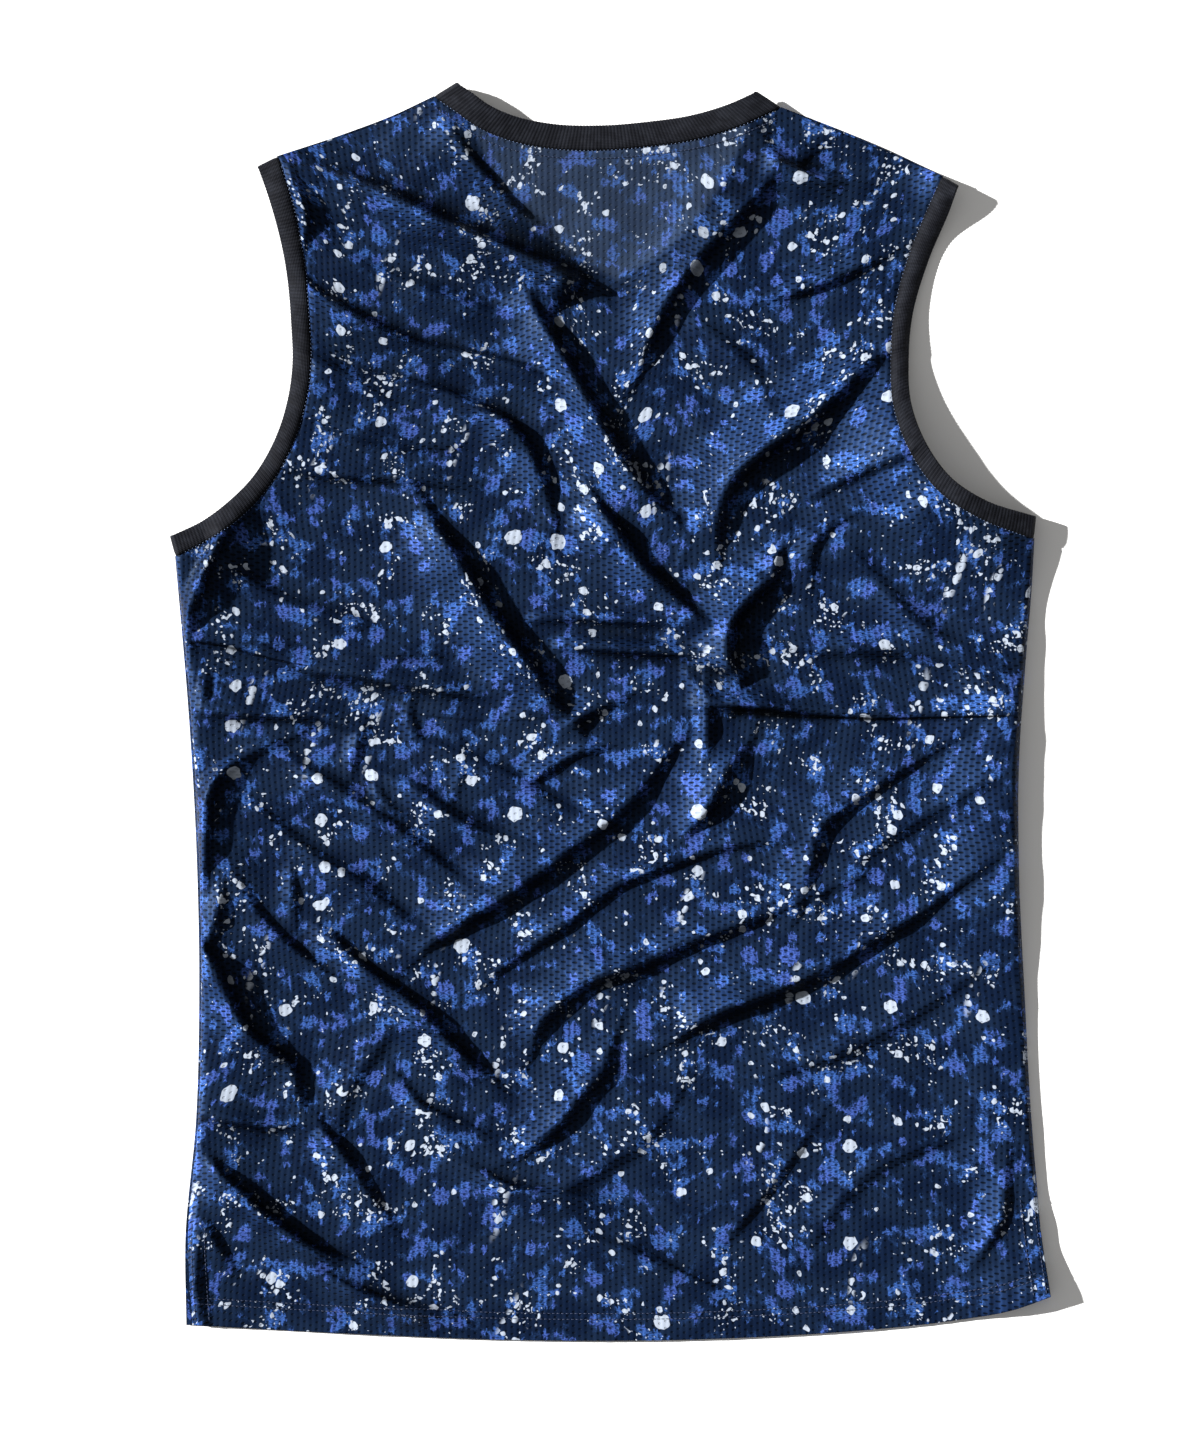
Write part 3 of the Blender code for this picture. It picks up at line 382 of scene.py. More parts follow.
def bell(distance: Array, reach: float) -> Array:
    """A bell curve: 1 at no distance, falling with the square of the distance over the reach."""
    return np.exp(-((distance / reach) ** 2))


def neighbours(grid: Array, reach: int, axis: int) -> list[Array]:
    """A grid shifted by each step from -reach to reach along one axis, its edges drawn out."""
    padded = np.pad(grid, [(reach, reach) if k == axis else (0, 0) for k in (0, 1)], "edge")
    count = grid.shape[axis]
    return [np.take(padded, range(k, k + count), axis=axis) for k in range(2 * reach + 1)]


def between_cells(grid: Array, column: Array, level: Array) -> Array:
    """A grid's value at places between its cells, by straight lines between four of them."""
    left = np.clip(column.astype(int), 0, grid.shape[1] - 2)
    low = np.clip(level.astype(int), 0, grid.shape[0] - 2)
    right, up = column - left, level - low
    lower = grid[low, left] * (1 - right) + grid[low, left + 1] * right
    upper = grid[low + 1, left] * (1 - right) + grid[low + 1, left + 1] * right
    return lower * (1 - up) + upper * up


def smooth_curve(points: Sequence[Sequence[float]], shares: Array) -> Array:
    """Points at the given shares of the length of a smooth curve.

    Between two knots the curve is the cubic that has the knots' own slopes, and the
    shares are measured along its length.

    Args:
        points: the knots, of which only x and y are read.
        shares: places along the curve, from 0 to 1.

    Returns:
        One row of x and y for each share.
    """
    knots = np.array([(p[0], p[1]) for p in points], float)
    along = run_along(knots)
    slope = np.gradient(knots, along, axis=0)
    fine = np.linspace(0.0, along[-1], LINE_STEPS * len(knots))
    low = np.clip(np.searchsorted(along, fine, side="right") - 1, 0, len(knots) - 2)
    step = (along[low + 1] - along[low])[:, None]
    t = (fine[:, None] - along[low][:, None]) / step
    curve = (
        (2 * t**3 - 3 * t**2 + 1) * knots[low]
        + (t**3 - 2 * t**2 + t) * step * slope[low]
        + (3 * t**2 - 2 * t**3) * knots[low + 1]
        + (t**3 - t**2) * step * slope[low + 1]
    )
    run = run_along(curve)
    return at_lengths(np.asarray(shares, float) * run[-1], run, curve)


def fine_line(points: Sequence[Sequence[float]]) -> Array:
    """A smooth curve as a chain of short straight steps."""
    return smooth_curve(points, np.linspace(0.0, 1.0, LINE_STEPS))


def smooth_step(value: Array) -> Array:
    """0 below 0, 1 above 1 and the S curve 3t² - 2t³ between."""
    t = np.clip(value, 0.0, 1.0)
    return t * t * (3.0 - 2.0 * t)


def from_line(points: Array, line: Array) -> tuple[Array, Array, Array]:
    """Each point's place beside a chain of straight steps.

    Args:
        points: rows of x and y.
        line: the chain's corners.

    Returns:
        The offset from the nearest place on the chain, that place's share of the
        length, and the direction of the chain there.
    """
    start = line[:-1]
    run = np.diff(line, axis=0)
    length = np.linalg.norm(run, axis=1)
    rel = points[:, None] - start[None]
    t = np.clip((rel * run).sum(axis=2) / length**2, 0.0, 1.0)
    away = rel - t[..., None] * run
    near = (away**2).sum(axis=2).argmin(axis=1)
    rows = np.arange(len(points))
    before = np.concatenate([[0.0], np.cumsum(length)])
    share = (before[near] + t[rows, near] * length[near]) / before[-1]
    return away[rows, near], share, run[near] / length[near][:, None]


def from_path(points: Array, rows: Array) -> tuple[Array, Array, Array, Array]:
    """Each point's place beside a smooth path.

    Args:
        points: rows of x and y.
        rows: the path, as rows of x, y and width.

    Returns:
        What from_line returns, and the path's width at the nearest place.
    """
    away, share, along = from_line(points, fine_line(rows))
    run = run_along(rows[:, :2])
    return away, share, along, np.interp(share, run / run[-1], rows[:, 2])


def distance_to(points: Array, *lines: Sequence[Sequence[float]]) -> Array:
    """Each point's distance to the nearest of several smooth curves."""
    found = [np.linalg.norm(from_line(points, fine_line(line))[0], axis=1) for line in lines]
    return np.min(found, axis=0)


def seam_of(edge: Sequence[EdgePoint], start: Sequence[float], end: Sequence[float], side: Side) -> Array:
    """The seam of a rib: its edge moved sideways by its width, between two given ends."""
    line = np.array([(s.x, s.y) for s in edge])
    along = unit(np.gradient(line, axis=0))
    across = np.stack([along[:, 1], -along[:, 0]], axis=1) * side.value
    seam = line + across * np.array([s.width for s in edge])[:, None]
    seam[0] = start
    seam[-1] = end
    return seam


LEFT_ARM_SEAM = seam_of(LEFT_ARMHOLE, LEFT_ARMPIT, LEFT_SHOULDER, Side.LEFT)
RIGHT_ARM_SEAM = seam_of(RIGHT_ARMHOLE, RIGHT_ARMPIT, RIGHT_SHOULDER, Side.RIGHT)
BACK_NECK_SEAM = seam_of(BACK_NECK, LEFT_NECK, RIGHT_NECK, Side.LEFT)
LEFT_V_SEAM = seam_of(LEFT_V, LEFT_NECK, V_POINT, Side.LEFT)
RIGHT_V_SEAM = seam_of(RIGHT_V, RIGHT_NECK, V_POINT, Side.RIGHT)


def drawn_in(points: Array) -> Array:
    """Points drawn in towards the frame's middle, by their height over the camera's.

    The outlines are measured as seen from above at the floor's scale, where a raised edge
    looks further out than it is.
    """
    moved = points.copy()
    moved[..., :2] -= (points[..., :2] - FRAME_MIDDLE) * points[..., 2:] / CAMERA_HEIGHT
    return moved


@dataclass
class Relief:
    """The folds of the back panel as a height over each place of a fine plan grid.

    The folds' tables give the dark sides' widths as seen, which grow by widen and widen_by
    before the grid is softened. Where folds meet, their heights mix by the power named mix.
    """

    low: tuple[float, float] = (-0.270, -0.380)
    high: tuple[float, float] = (0.270, 0.380)
    step: float = 0.0009
    soften: float = 0.0010
    widen: float = 1.10
    widen_by: float = 0.0006
    mix: float = 2.5
    steep_least: float = 0.0024
    steep_most: float = 0.0070
    gentle_power: float = 1.7
    steep_power: float = 1.35
    facing_least: float = 0.42
    edge_every: int = 8
    sky_turns: int = 12
    sky_reaches: tuple[float, ...] = (0.002, 0.004, 0.007, 0.011, 0.016)
    wave_height: float = 0.00090
    wave_floor: float = 0.0006
    wave_count: int = 26
    wave_lengths: tuple[float, float] = (0.018, 0.090)
    wave_middle: float = 0.045
    seed: int = 7

    def __post_init__(self) -> None:
        """Works the whole grid out once."""
        self.xs = np.arange(self.low[0], self.high[0], self.step)
        self.ys = np.arange(self.low[1], self.high[1], self.step)
        grid = np.stack(np.meshgrid(self.xs, self.ys), axis=-1)
        total = np.zeros(grid.shape[:2])
        self.edge = self.edge_distance()
        for fold in FOLDS:
            log.debug("fold %s", fold.name)
            self.press(total, grid, fold)
        self.heights = self.softened(total ** (1.0 / self.mix) + self.waves(grid))
        self.open_sky = self.softened(self.sky_share())

    def edge_distance(self) -> Array:
        """Each cell's distance to the garment's edges, from every eighth cell, filled in between."""
        xs, ys = self.xs[:: self.edge_every], self.ys[:: self.edge_every]
        places = np.stack(np.meshgrid(xs, ys), axis=-1)
        edges = LEFT_SIDE, RIGHT_SIDE, HEM, LEFT_ARMHOLE, RIGHT_ARMHOLE
        near = distance_to(places.reshape(-1, 2), *edges).reshape(places.shape[:2])
        column = np.interp(self.xs, xs, np.arange(len(xs)))
        level = np.interp(self.ys, ys, np.arange(len(ys)))[:, None]
        return between_cells(near, column, level)

    def press(self, total: Array, grid: Array, fold: Fold) -> None:
        """Adds one fold, raised to the mixing power, to the running total.

        The fold's height is the width of its dark side times the tangent of the light's
        elevation, over how squarely it faces the light. With t as the share of the way
        from the crest to the foot, each side's height is the fold's times (1 - t) to a
        power, over a wide gentle side towards the light and a narrow steep one.

        Args:
            total: the running total, which is changed in place.
            grid: the plan place of each of its cells.
            fold: the fold.
        """
        rows = np.array(fold.path_mm, float) * MM
        reach = fold.gentle_mm * MM + 2.0 * self.steep_most
        lows = rows[:, :2].min(axis=0) - reach
        highs = rows[:, :2].max(axis=0) + reach
        columns = slice(*np.searchsorted(self.xs, [lows[0], highs[0]]))
        levels = slice(*np.searchsorted(self.ys, [lows[1], highs[1]]))
        window = grid[levels, columns]
        away, _, along, dark = from_path(window.reshape(-1, 2), rows)
        band = self.widen * dark + self.widen_by
        normal = np.stack([along[:, 1], -along[:, 0]], axis=1)
        normal *= np.sign(normal.mean(axis=0) @ RAKE)
        facing = np.clip(normal @ RAKE, self.facing_least, 1.0)
        height = band * math.tan(LIGHT_ELEVATION) / facing
        steep_most = max(self.steep_most, fold.steep * self.steep_most)
        steep = np.clip(band * fold.steep, self.steep_least, steep_most)
        signed = np.sign((away * normal).sum(axis=1)) * np.linalg.norm(away, axis=1)
        crest = signed + 0.5 * band
        width = np.where(crest < 0.0, fold.gentle_mm * MM, steep)
        power = np.where(crest < 0.0, self.gentle_power, self.steep_power)
        profile = (1.0 - np.clip(np.abs(crest) / width, 0.0, 1.0)) ** power
        rise = height * profile * smooth_step(self.edge[levels, columns].ravel() / fold.keep)
        total[levels, columns] += (rise**self.mix).reshape(window.shape[:2])

    def softened(self, heights: Array) -> Array:
        """The heights smoothed by a bell curve along each axis in turn."""
        reach = int(math.ceil(3.0 * self.soften / self.step))
        weights = np.exp(-0.5 * (np.arange(-reach, reach + 1) * self.step / self.soften) ** 2)
        weights /= weights.sum()
        for axis in (0, 1):
            parts = neighbours(heights, reach, axis)
            heights = sum(part * weight for part, weight in zip(parts, weights))
        return heights

    def waves(self, grid: Array) -> Array:
        """Slight unevenness: a sum of seeded plane waves with lengths from 18 to 90 mm.

        Its hollows are flattened, as the layer below holds them up: the sum w becomes half
        of w, plus the root of w² + f², less f.
        """
        rng = np.random.default_rng(self.seed)
        total = np.zeros(grid.shape[:2])
        for length in np.geomspace(*self.wave_lengths, self.wave_count):
            angle = rng.uniform(0.0, math.pi)
            shift = rng.uniform(0.0, 2.0 * math.pi)
            place = grid[..., 0] * math.cos(angle) + grid[..., 1] * math.sin(angle)
            total += np.sin(2.0 * math.pi * place / length + shift) * (length / self.wave_middle)
        total *= self.wave_height / math.sqrt(self.wave_count)
        return 0.5 * (total + np.sqrt(total**2 + self.wave_floor**2) - self.wave_floor)

    def sky_share(self) -> Array:
        """How much of the sky each cell sees.

        In each of twelve directions the skyline is the steepest climb within 16 mm, and
        hides the square of its sine.
        """
        hidden = np.zeros_like(self.heights)
        for turn in np.arange(self.sky_turns) * 2.0 * math.pi / self.sky_turns:
            climb = np.zeros_like(self.heights)
            for far in self.sky_reaches:
                shift = np.round(far * np.array([math.sin(turn), math.cos(turn)]) / self.step).astype(int)
                seen = np.roll(self.heights, tuple(-shift), axis=(0, 1))
                climb = np.maximum(climb, (seen - self.heights) / far)
            hidden += climb**2 / (1.0 + climb**2)
        return 1.0 - hidden / self.sky_turns

    def over(self, points: Array) -> Array:
        """The folds' height over each point."""
        return self.sampled(self.heights, points)

    def sampled(self, grid: Array, points: Array) -> Array:
        """A grid's value at each point."""
        at = (points - np.array(self.low)) / self.step
        return between_cells(grid, at[:, 0], at[:, 1])


@dataclass
class Lay:
    """How the two layers lie: the height of each one's underside over a place in plan."""

    relief: Relief
    roll_width: float = 0.0034
    roll_fall: float = 0.052
    seam_share: float = 0.45
    roll_gap: float = 0.0006
    edge_rise: float = 0.0012
    neck_rise: float = 0.0070
    neck_fall: float = 0.052
    armhole_fall: float = 0.040
    rise_power: float = 0.8
    front_reach: float = 0.65
    vent_closing: float = 0.029
    seam_fall: float = 0.0030
    rise_steps: int = 101
    rise_even: int = 4

    def rolled(self, points: Array) -> tuple[Array, Array]:
        """The rolled side's height at each point's level, and the distance to the side seam."""
        left = distance_to(points, LEFT_SIDE)
        right = distance_to(points, RIGHT_SIDE)
        levels = [row.y for row in ROLLS]
        on_left = np.interp(points[:, 1], levels, [row.left for row in ROLLS])
        on_right = np.interp(points[:, 1], levels, [row.right for row in ROLLS])
        return np.where(left < right, on_left, on_right), np.minimum(left, right)

    def lifted(self, points: Array, in_front: bool) -> Array:
        """The raised corners: a sum of bell curves, narrower and lower in the front layer."""
        total = np.zeros(len(points))
        for lift in LIFTS:
            far = np.hypot(points[:, 0] - lift.x, points[:, 1] - lift.y)
            reach = lift.reach * (self.front_reach if in_front else 1.0)
            height = lift.height * (lift.front_share if in_front else 1.0)
            total += height * bell(far, reach)
        return total

    def sewn(self, points: Array) -> Array:
        """1 where the sides are sewn, 0 in the vents below."""
        return smooth_step((points[:, 1] - HEM[0][1] - VENT_HEIGHT) / self.vent_closing)

    def arc(self, distance: Array) -> Array:
        """A quarter circle's height, from 0 at the seam to 1 at the roll's top."""
        t = np.clip(distance / self.roll_width, 0.0, 1.0)
        return np.sqrt(1.0 - (1.0 - t) ** 2)

    def opened(self, points: Array) -> Array:
        """The back's rise along the neck, a sine to a power along it and a bell curve across it."""
        away, share, _ = from_line(points, fine_line(BACK_NECK))
        top = self.edge_rise + (self.neck_rise - self.edge_rise) * np.sin(np.pi * share) ** self.rise_power
        return top * bell(np.linalg.norm(away, axis=1), self.neck_fall)

    def arched(self, points: Array, edge: Sequence[EdgePoint], rises: Sequence[Rise]) -> Array:
        """The back's rise along an armhole: from its table along it, a bell curve across it."""
        away, share, _ = from_line(points, fine_line(edge))
        blend = np.linspace(0.0, 1.0, self.rise_steps)
        heights = np.interp(blend, [row.share for row in rises], [row.height for row in rises])
        parts = neighbours(heights[None], self.rise_even, 1)
        top = np.interp(share, blend, sum(parts)[0] / len(parts))
        return top * bell(np.linalg.norm(away, axis=1), self.armhole_fall)

    def front(self, points: Array) -> Array:
        """The front's underside: flat, but for its corners and for its seams, which follow the back's."""
        height, near = self.rolled(points)
        sewn = self.sewn(points)
        curl = self.seam_share * height * (1.0 - self.arc(near)) * sewn
        pull = self.relief.over(points) * bell(near, self.seam_fall) * sewn
        return np.maximum(curl + self.lifted(points, True) + pull, 0.0)

    def back(self, points: Array) -> Array:
        """The back's underside: the layer below, the rolls, the openings' rise, the corners and the folds."""
        height, near = self.rolled(points)
        sewn = self.sewn(points)
        at_seam = self.seam_share * sewn + (1.0 - sewn)
        rise = at_seam + (1.0 - at_seam) * self.arc(near)
        fall = 1.0 - smooth_step((near - self.roll_width) / self.roll_fall)
        base = (CLOTH + LAYER_GAP) * (1.0 - sewn * (1.0 - self.arc(near)))
        hem = TURNED_EXTRA * (1.0 - smooth_step(distance_to(points, HEM) / HEM_DEPTH - 1.0))
        seam = self.roll_gap * sewn * (1.0 - self.arc(near))
        openings = (
            self.opened(points)
            + self.arched(points, LEFT_ARMHOLE, LEFT_RISES)
            + self.arched(points, RIGHT_ARMHOLE, RIGHT_RISES)
        )
        total = base + seam + hem + height * rise * fall + openings
        return total + self.lifted(points, False) + self.relief.over(points)


def new_mesh(name: str, points: Array, faces: list[list[int]]) -> bpy.types.Mesh:
    """A mesh of points and faces."""
    mesh = bpy.data.meshes.new(name)
    mesh.from_pydata(points.reshape(-1, 3).tolist(), [], faces)
    mesh.update()
    return mesh


def ring_mesh(name: str, points: Array) -> bpy.types.Mesh:
    """A smooth mesh of quads over a grid of points, whose last row is joined to its first.

    Args:
        name: the mesh's name.
        points: rows and columns of x, y and z; the faces look to the side that has the
            columns to the right and the rows going up.

    Returns:
        The mesh.
    """
    lower = np.arange(points[..., 0].size).reshape(points.shape[:2])
    upper = np.roll(lower, -1, axis=0)
    quads = np.stack([lower[:, :-1], lower[:, 1:], upper[:, 1:], upper[:, :-1]], axis=-1)
    mesh = new_mesh(name, points, quads.reshape(-1, 4).tolist())
    mesh.shade_smooth()
    return mesh


def set_uv(mesh: bpy.types.Mesh, places: Array) -> None:
    """Gives each corner of a mesh its vertex's place on the cloth, in metres."""
    layer = mesh.uv_layers.new(name="cloth")
    corners = np.zeros(len(mesh.loops), np.int32)
    mesh.loops.foreach_get("vertex_index", corners)
    layer.uv.foreach_set("vector", places.reshape(-1, 2)[corners].astype(np.float32).ravel())


def set_values(mesh: bpy.types.Mesh, name: str, values: Array) -> None:
    """Gives each vertex of a mesh a number that its material reads."""
    layer = mesh.attributes.new(name, "FLOAT", "POINT")
    layer.data.foreach_set("value", values.astype(np.float32).ravel())


def add_wall(piece: bpy.types.Object, thickness: float) -> None:
    """Gives an open surface its wall, half to each side."""
    wall = piece.modifiers.new("wall", "SOLIDIFY")
    wall.thickness = thickness
    wall.offset = 0.0


def add_piece(mesh: bpy.types.Mesh, material: bpy.types.Material) -> bpy.types.Object:
    """Puts a mesh in the scene as a piece of the garment."""
    piece = bpy.data.objects.new(mesh.name, mesh)
    mesh.materials.append(material)
    bpy.context.scene.collection.objects.link(piece)
    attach(piece, "root")
    return piece


class Shading:
    """Places the nodes of one material and joins them."""

    def __init__(self, name: str) -> None:
        """Opens a new material with its shader.

        Args:
            name: the material's name.
        """
        self.material = bpy.data.materials.new(name)
        self.material.use_nodes = True
        self.tree = self.material.node_tree
        self.shader = self.tree.nodes["Principled BSDF"]

    def node(self, kind: str, inputs: dict, **settings) -> bpy.types.Node:
        """A new node.

        Args:
            kind: Blender's name for the node, without its ShaderNode.
            inputs: what each socket, by name or number, holds or is joined to.
            **settings: the node's own properties.

        Returns:
            The node.
        """
        made = self.tree.nodes.new("ShaderNode" + kind)
        for name, value in settings.items():
            setattr(made, name, value)
        for key, value in inputs.items():
            self.feed(made.inputs[key], value)
        return made

    def feed(self, socket: Socket, value: object) -> None:
        """Joins a socket to another one, or sets its number, colour or vector."""
        if isinstance(value, Socket):
            self.tree.links.new(value, socket)
        elif isinstance(value, tuple) and socket.type == "RGBA":
            socket.default_value = (*value, 1.0)
        else:
            socket.default_value = value

    def math(self, operation: str, *values: object) -> Socket:
        """One sum on numbers."""
        return self.node("Math", dict(enumerate(values)), operation=operation).outputs[0]

    def times(self, first: Socket, *others: object) -> Socket:
        """The product of several numbers, multiplied in their order."""
        for other in others:
            first = self.math("MULTIPLY", first, other)
        return first

    def line(self, value: Socket, gain: float, start: float) -> Socket:
        """A number times a gain, plus a start."""
        return self.math("MULTIPLY_ADD", value, gain, start)

    def less(self, first: object, second: object) -> Socket:
        """The first number less the second."""
        return self.math("SUBTRACT", first, second)

    def size_of(self, value: Socket) -> Socket:
        """A number without its sign."""
        return self.math("ABSOLUTE", value)

    def stretch(self, place: Socket, by: Colour) -> Socket:
        """A place stretched or squeezed along each axis."""
        return self.node("VectorMath", {0: place, 1: by}, operation="MULTIPLY").outputs[0]

    def finish(self, colour: object, roughness: float, specular: float = 0.5) -> None:
        """Gives the shader its colour, its roughness and its specular level."""
        self.feed(self.shader.inputs["Base Color"], colour)
        self.feed(self.shader.inputs["Roughness"], roughness)
        self.feed(self.shader.inputs["Specular IOR Level"], specular)

    def move(self, place: Socket, offset: Colour) -> Socket:
        """A place moved by a fixed offset."""
        return self.node("VectorMath", {0: place, 1: offset}, operation="ADD").outputs[0]

    def ramp(self, value: Socket, low: float, high: float, start: float = 0.0, end: float = 1.0) -> Socket:
        """An S curve from start, at and below low, to end, at and above high."""
        inputs = {"Value": value, "From Min": low, "From Max": high, "To Min": start, "To Max": end}
        return self.node("MapRange", inputs, interpolation_type="SMOOTHSTEP").outputs[0]

    def noise(self, place: Socket, size: float, detail: float = 2.0, rough: float = 0.5) -> Socket:
        """Soft noise from 0 to 1 whose lumps are about this size, in the place's own unit."""
        inputs = {"Vector": place, "Scale": 1.0 / size, "Detail": detail, "Roughness": rough}
        return self.node("TexNoise", inputs, noise_dimensions="2D").outputs[0]

    def shaken(self, place: Socket, size: float, reach: float) -> Socket:
        """A place moved about by noise: by up to about half the reach, in lumps of the given size."""
        inputs = {"Vector": place, "Scale": 1.0 / size, "Detail": 0.0}
        cloud = self.node("TexNoise", inputs, noise_dimensions="2D").outputs["Color"]
        centred = self.node("VectorMath", {0: cloud, 1: (0.5, 0.5, 0.5)}, operation="SUBTRACT").outputs[0]
        scaled = self.node("VectorMath", {0: centred, "Scale": reach}, operation="SCALE").outputs[0]
        return self.node("VectorMath", {0: place, 1: scaled}, operation="ADD").outputs[0]

    def cells(self, place: Socket, size: float) -> tuple[Socket, Socket, Socket]:
        """Scattered points, about one for each square of this size.

        Returns:
            The distance to the nearest point, and two random numbers of that point.
        """
        made = self.node("TexVoronoi", {"Vector": place, "Scale": 1.0 / size}, voronoi_dimensions="2D")
        away = self.math("MULTIPLY", made.outputs["Distance"], size)
        numbers = self.node("SeparateColor", {0: made.outputs["Color"]})
        return away, numbers.outputs[0], numbers.outputs[1]

    def mix(self, share: object, first: object, second: object) -> Socket:
        """A colour between two others."""
        made = self.node("Mix", {}, data_type="RGBA")
        self.feed(made.inputs[0], share)
        self.feed(made.inputs[6], first)
        self.feed(made.inputs[7], second)
        return made.outputs[2]

    def darken(self, colour: object, share: Socket) -> Socket:
        """A colour times a number."""
        return self.node("VectorMath", {0: colour, "Scale": share}, operation="SCALE").outputs[0]

    def attribute(self, name: str) -> Socket:
        """A number that the mesh holds for each vertex."""
        return self.node("Attribute", {}, attribute_name=name).outputs["Fac"]

    def cloth_mm(self) -> Socket:
        """The place on the uncut cloth, in millimetres."""
        place = self.node("UVMap", {}, uv_map="cloth").outputs[0]
        return self.node("VectorMath", {0: place, "Scale": 1000.0}, operation="SCALE").outputs[0]

    def bump(self, height: Socket, depth: float) -> None:
        """Gives the shader a relief of the given depth in metres."""
        made = self.node("Bump", {"Height": height, "Distance": depth, "Strength": 1.0})
        self.tree.links.new(made.outputs[0], self.shader.inputs["Normal"])


@dataclass(frozen=True)
class Drops:
    """One size of paint drop: the spacing of its places, its largest radius and how many are filled."""

    spacing_mm: float
    radius_mm: float
    chance: float
    offset: Colour
    soft_mm: float = 0.16


@dataclass(frozen=True)
class Cloud:
    """Soft noise in lumps of this size, and the values where its effect starts and is full."""

    size_mm: float
    start: float
    full: float
    offset: Colour = (0.0, 0.0, 0.0)
    detail: float = 0.0
    rough: float = 0.5


@dataclass(frozen=True)
class Chains:
    """Long narrow places along which drops are strung."""

    turn: float = 0.28
    bend_mm: tuple[float, float] = (30.0, 9.0)
    squeeze: float = 0.175
    spacing_mm: float = 26.0
    share: float = 0.30
    edge_mm: tuple[float, float] = (1.4, 4.2)
    offset: Colour = (9.0, 4.0, 0.0)


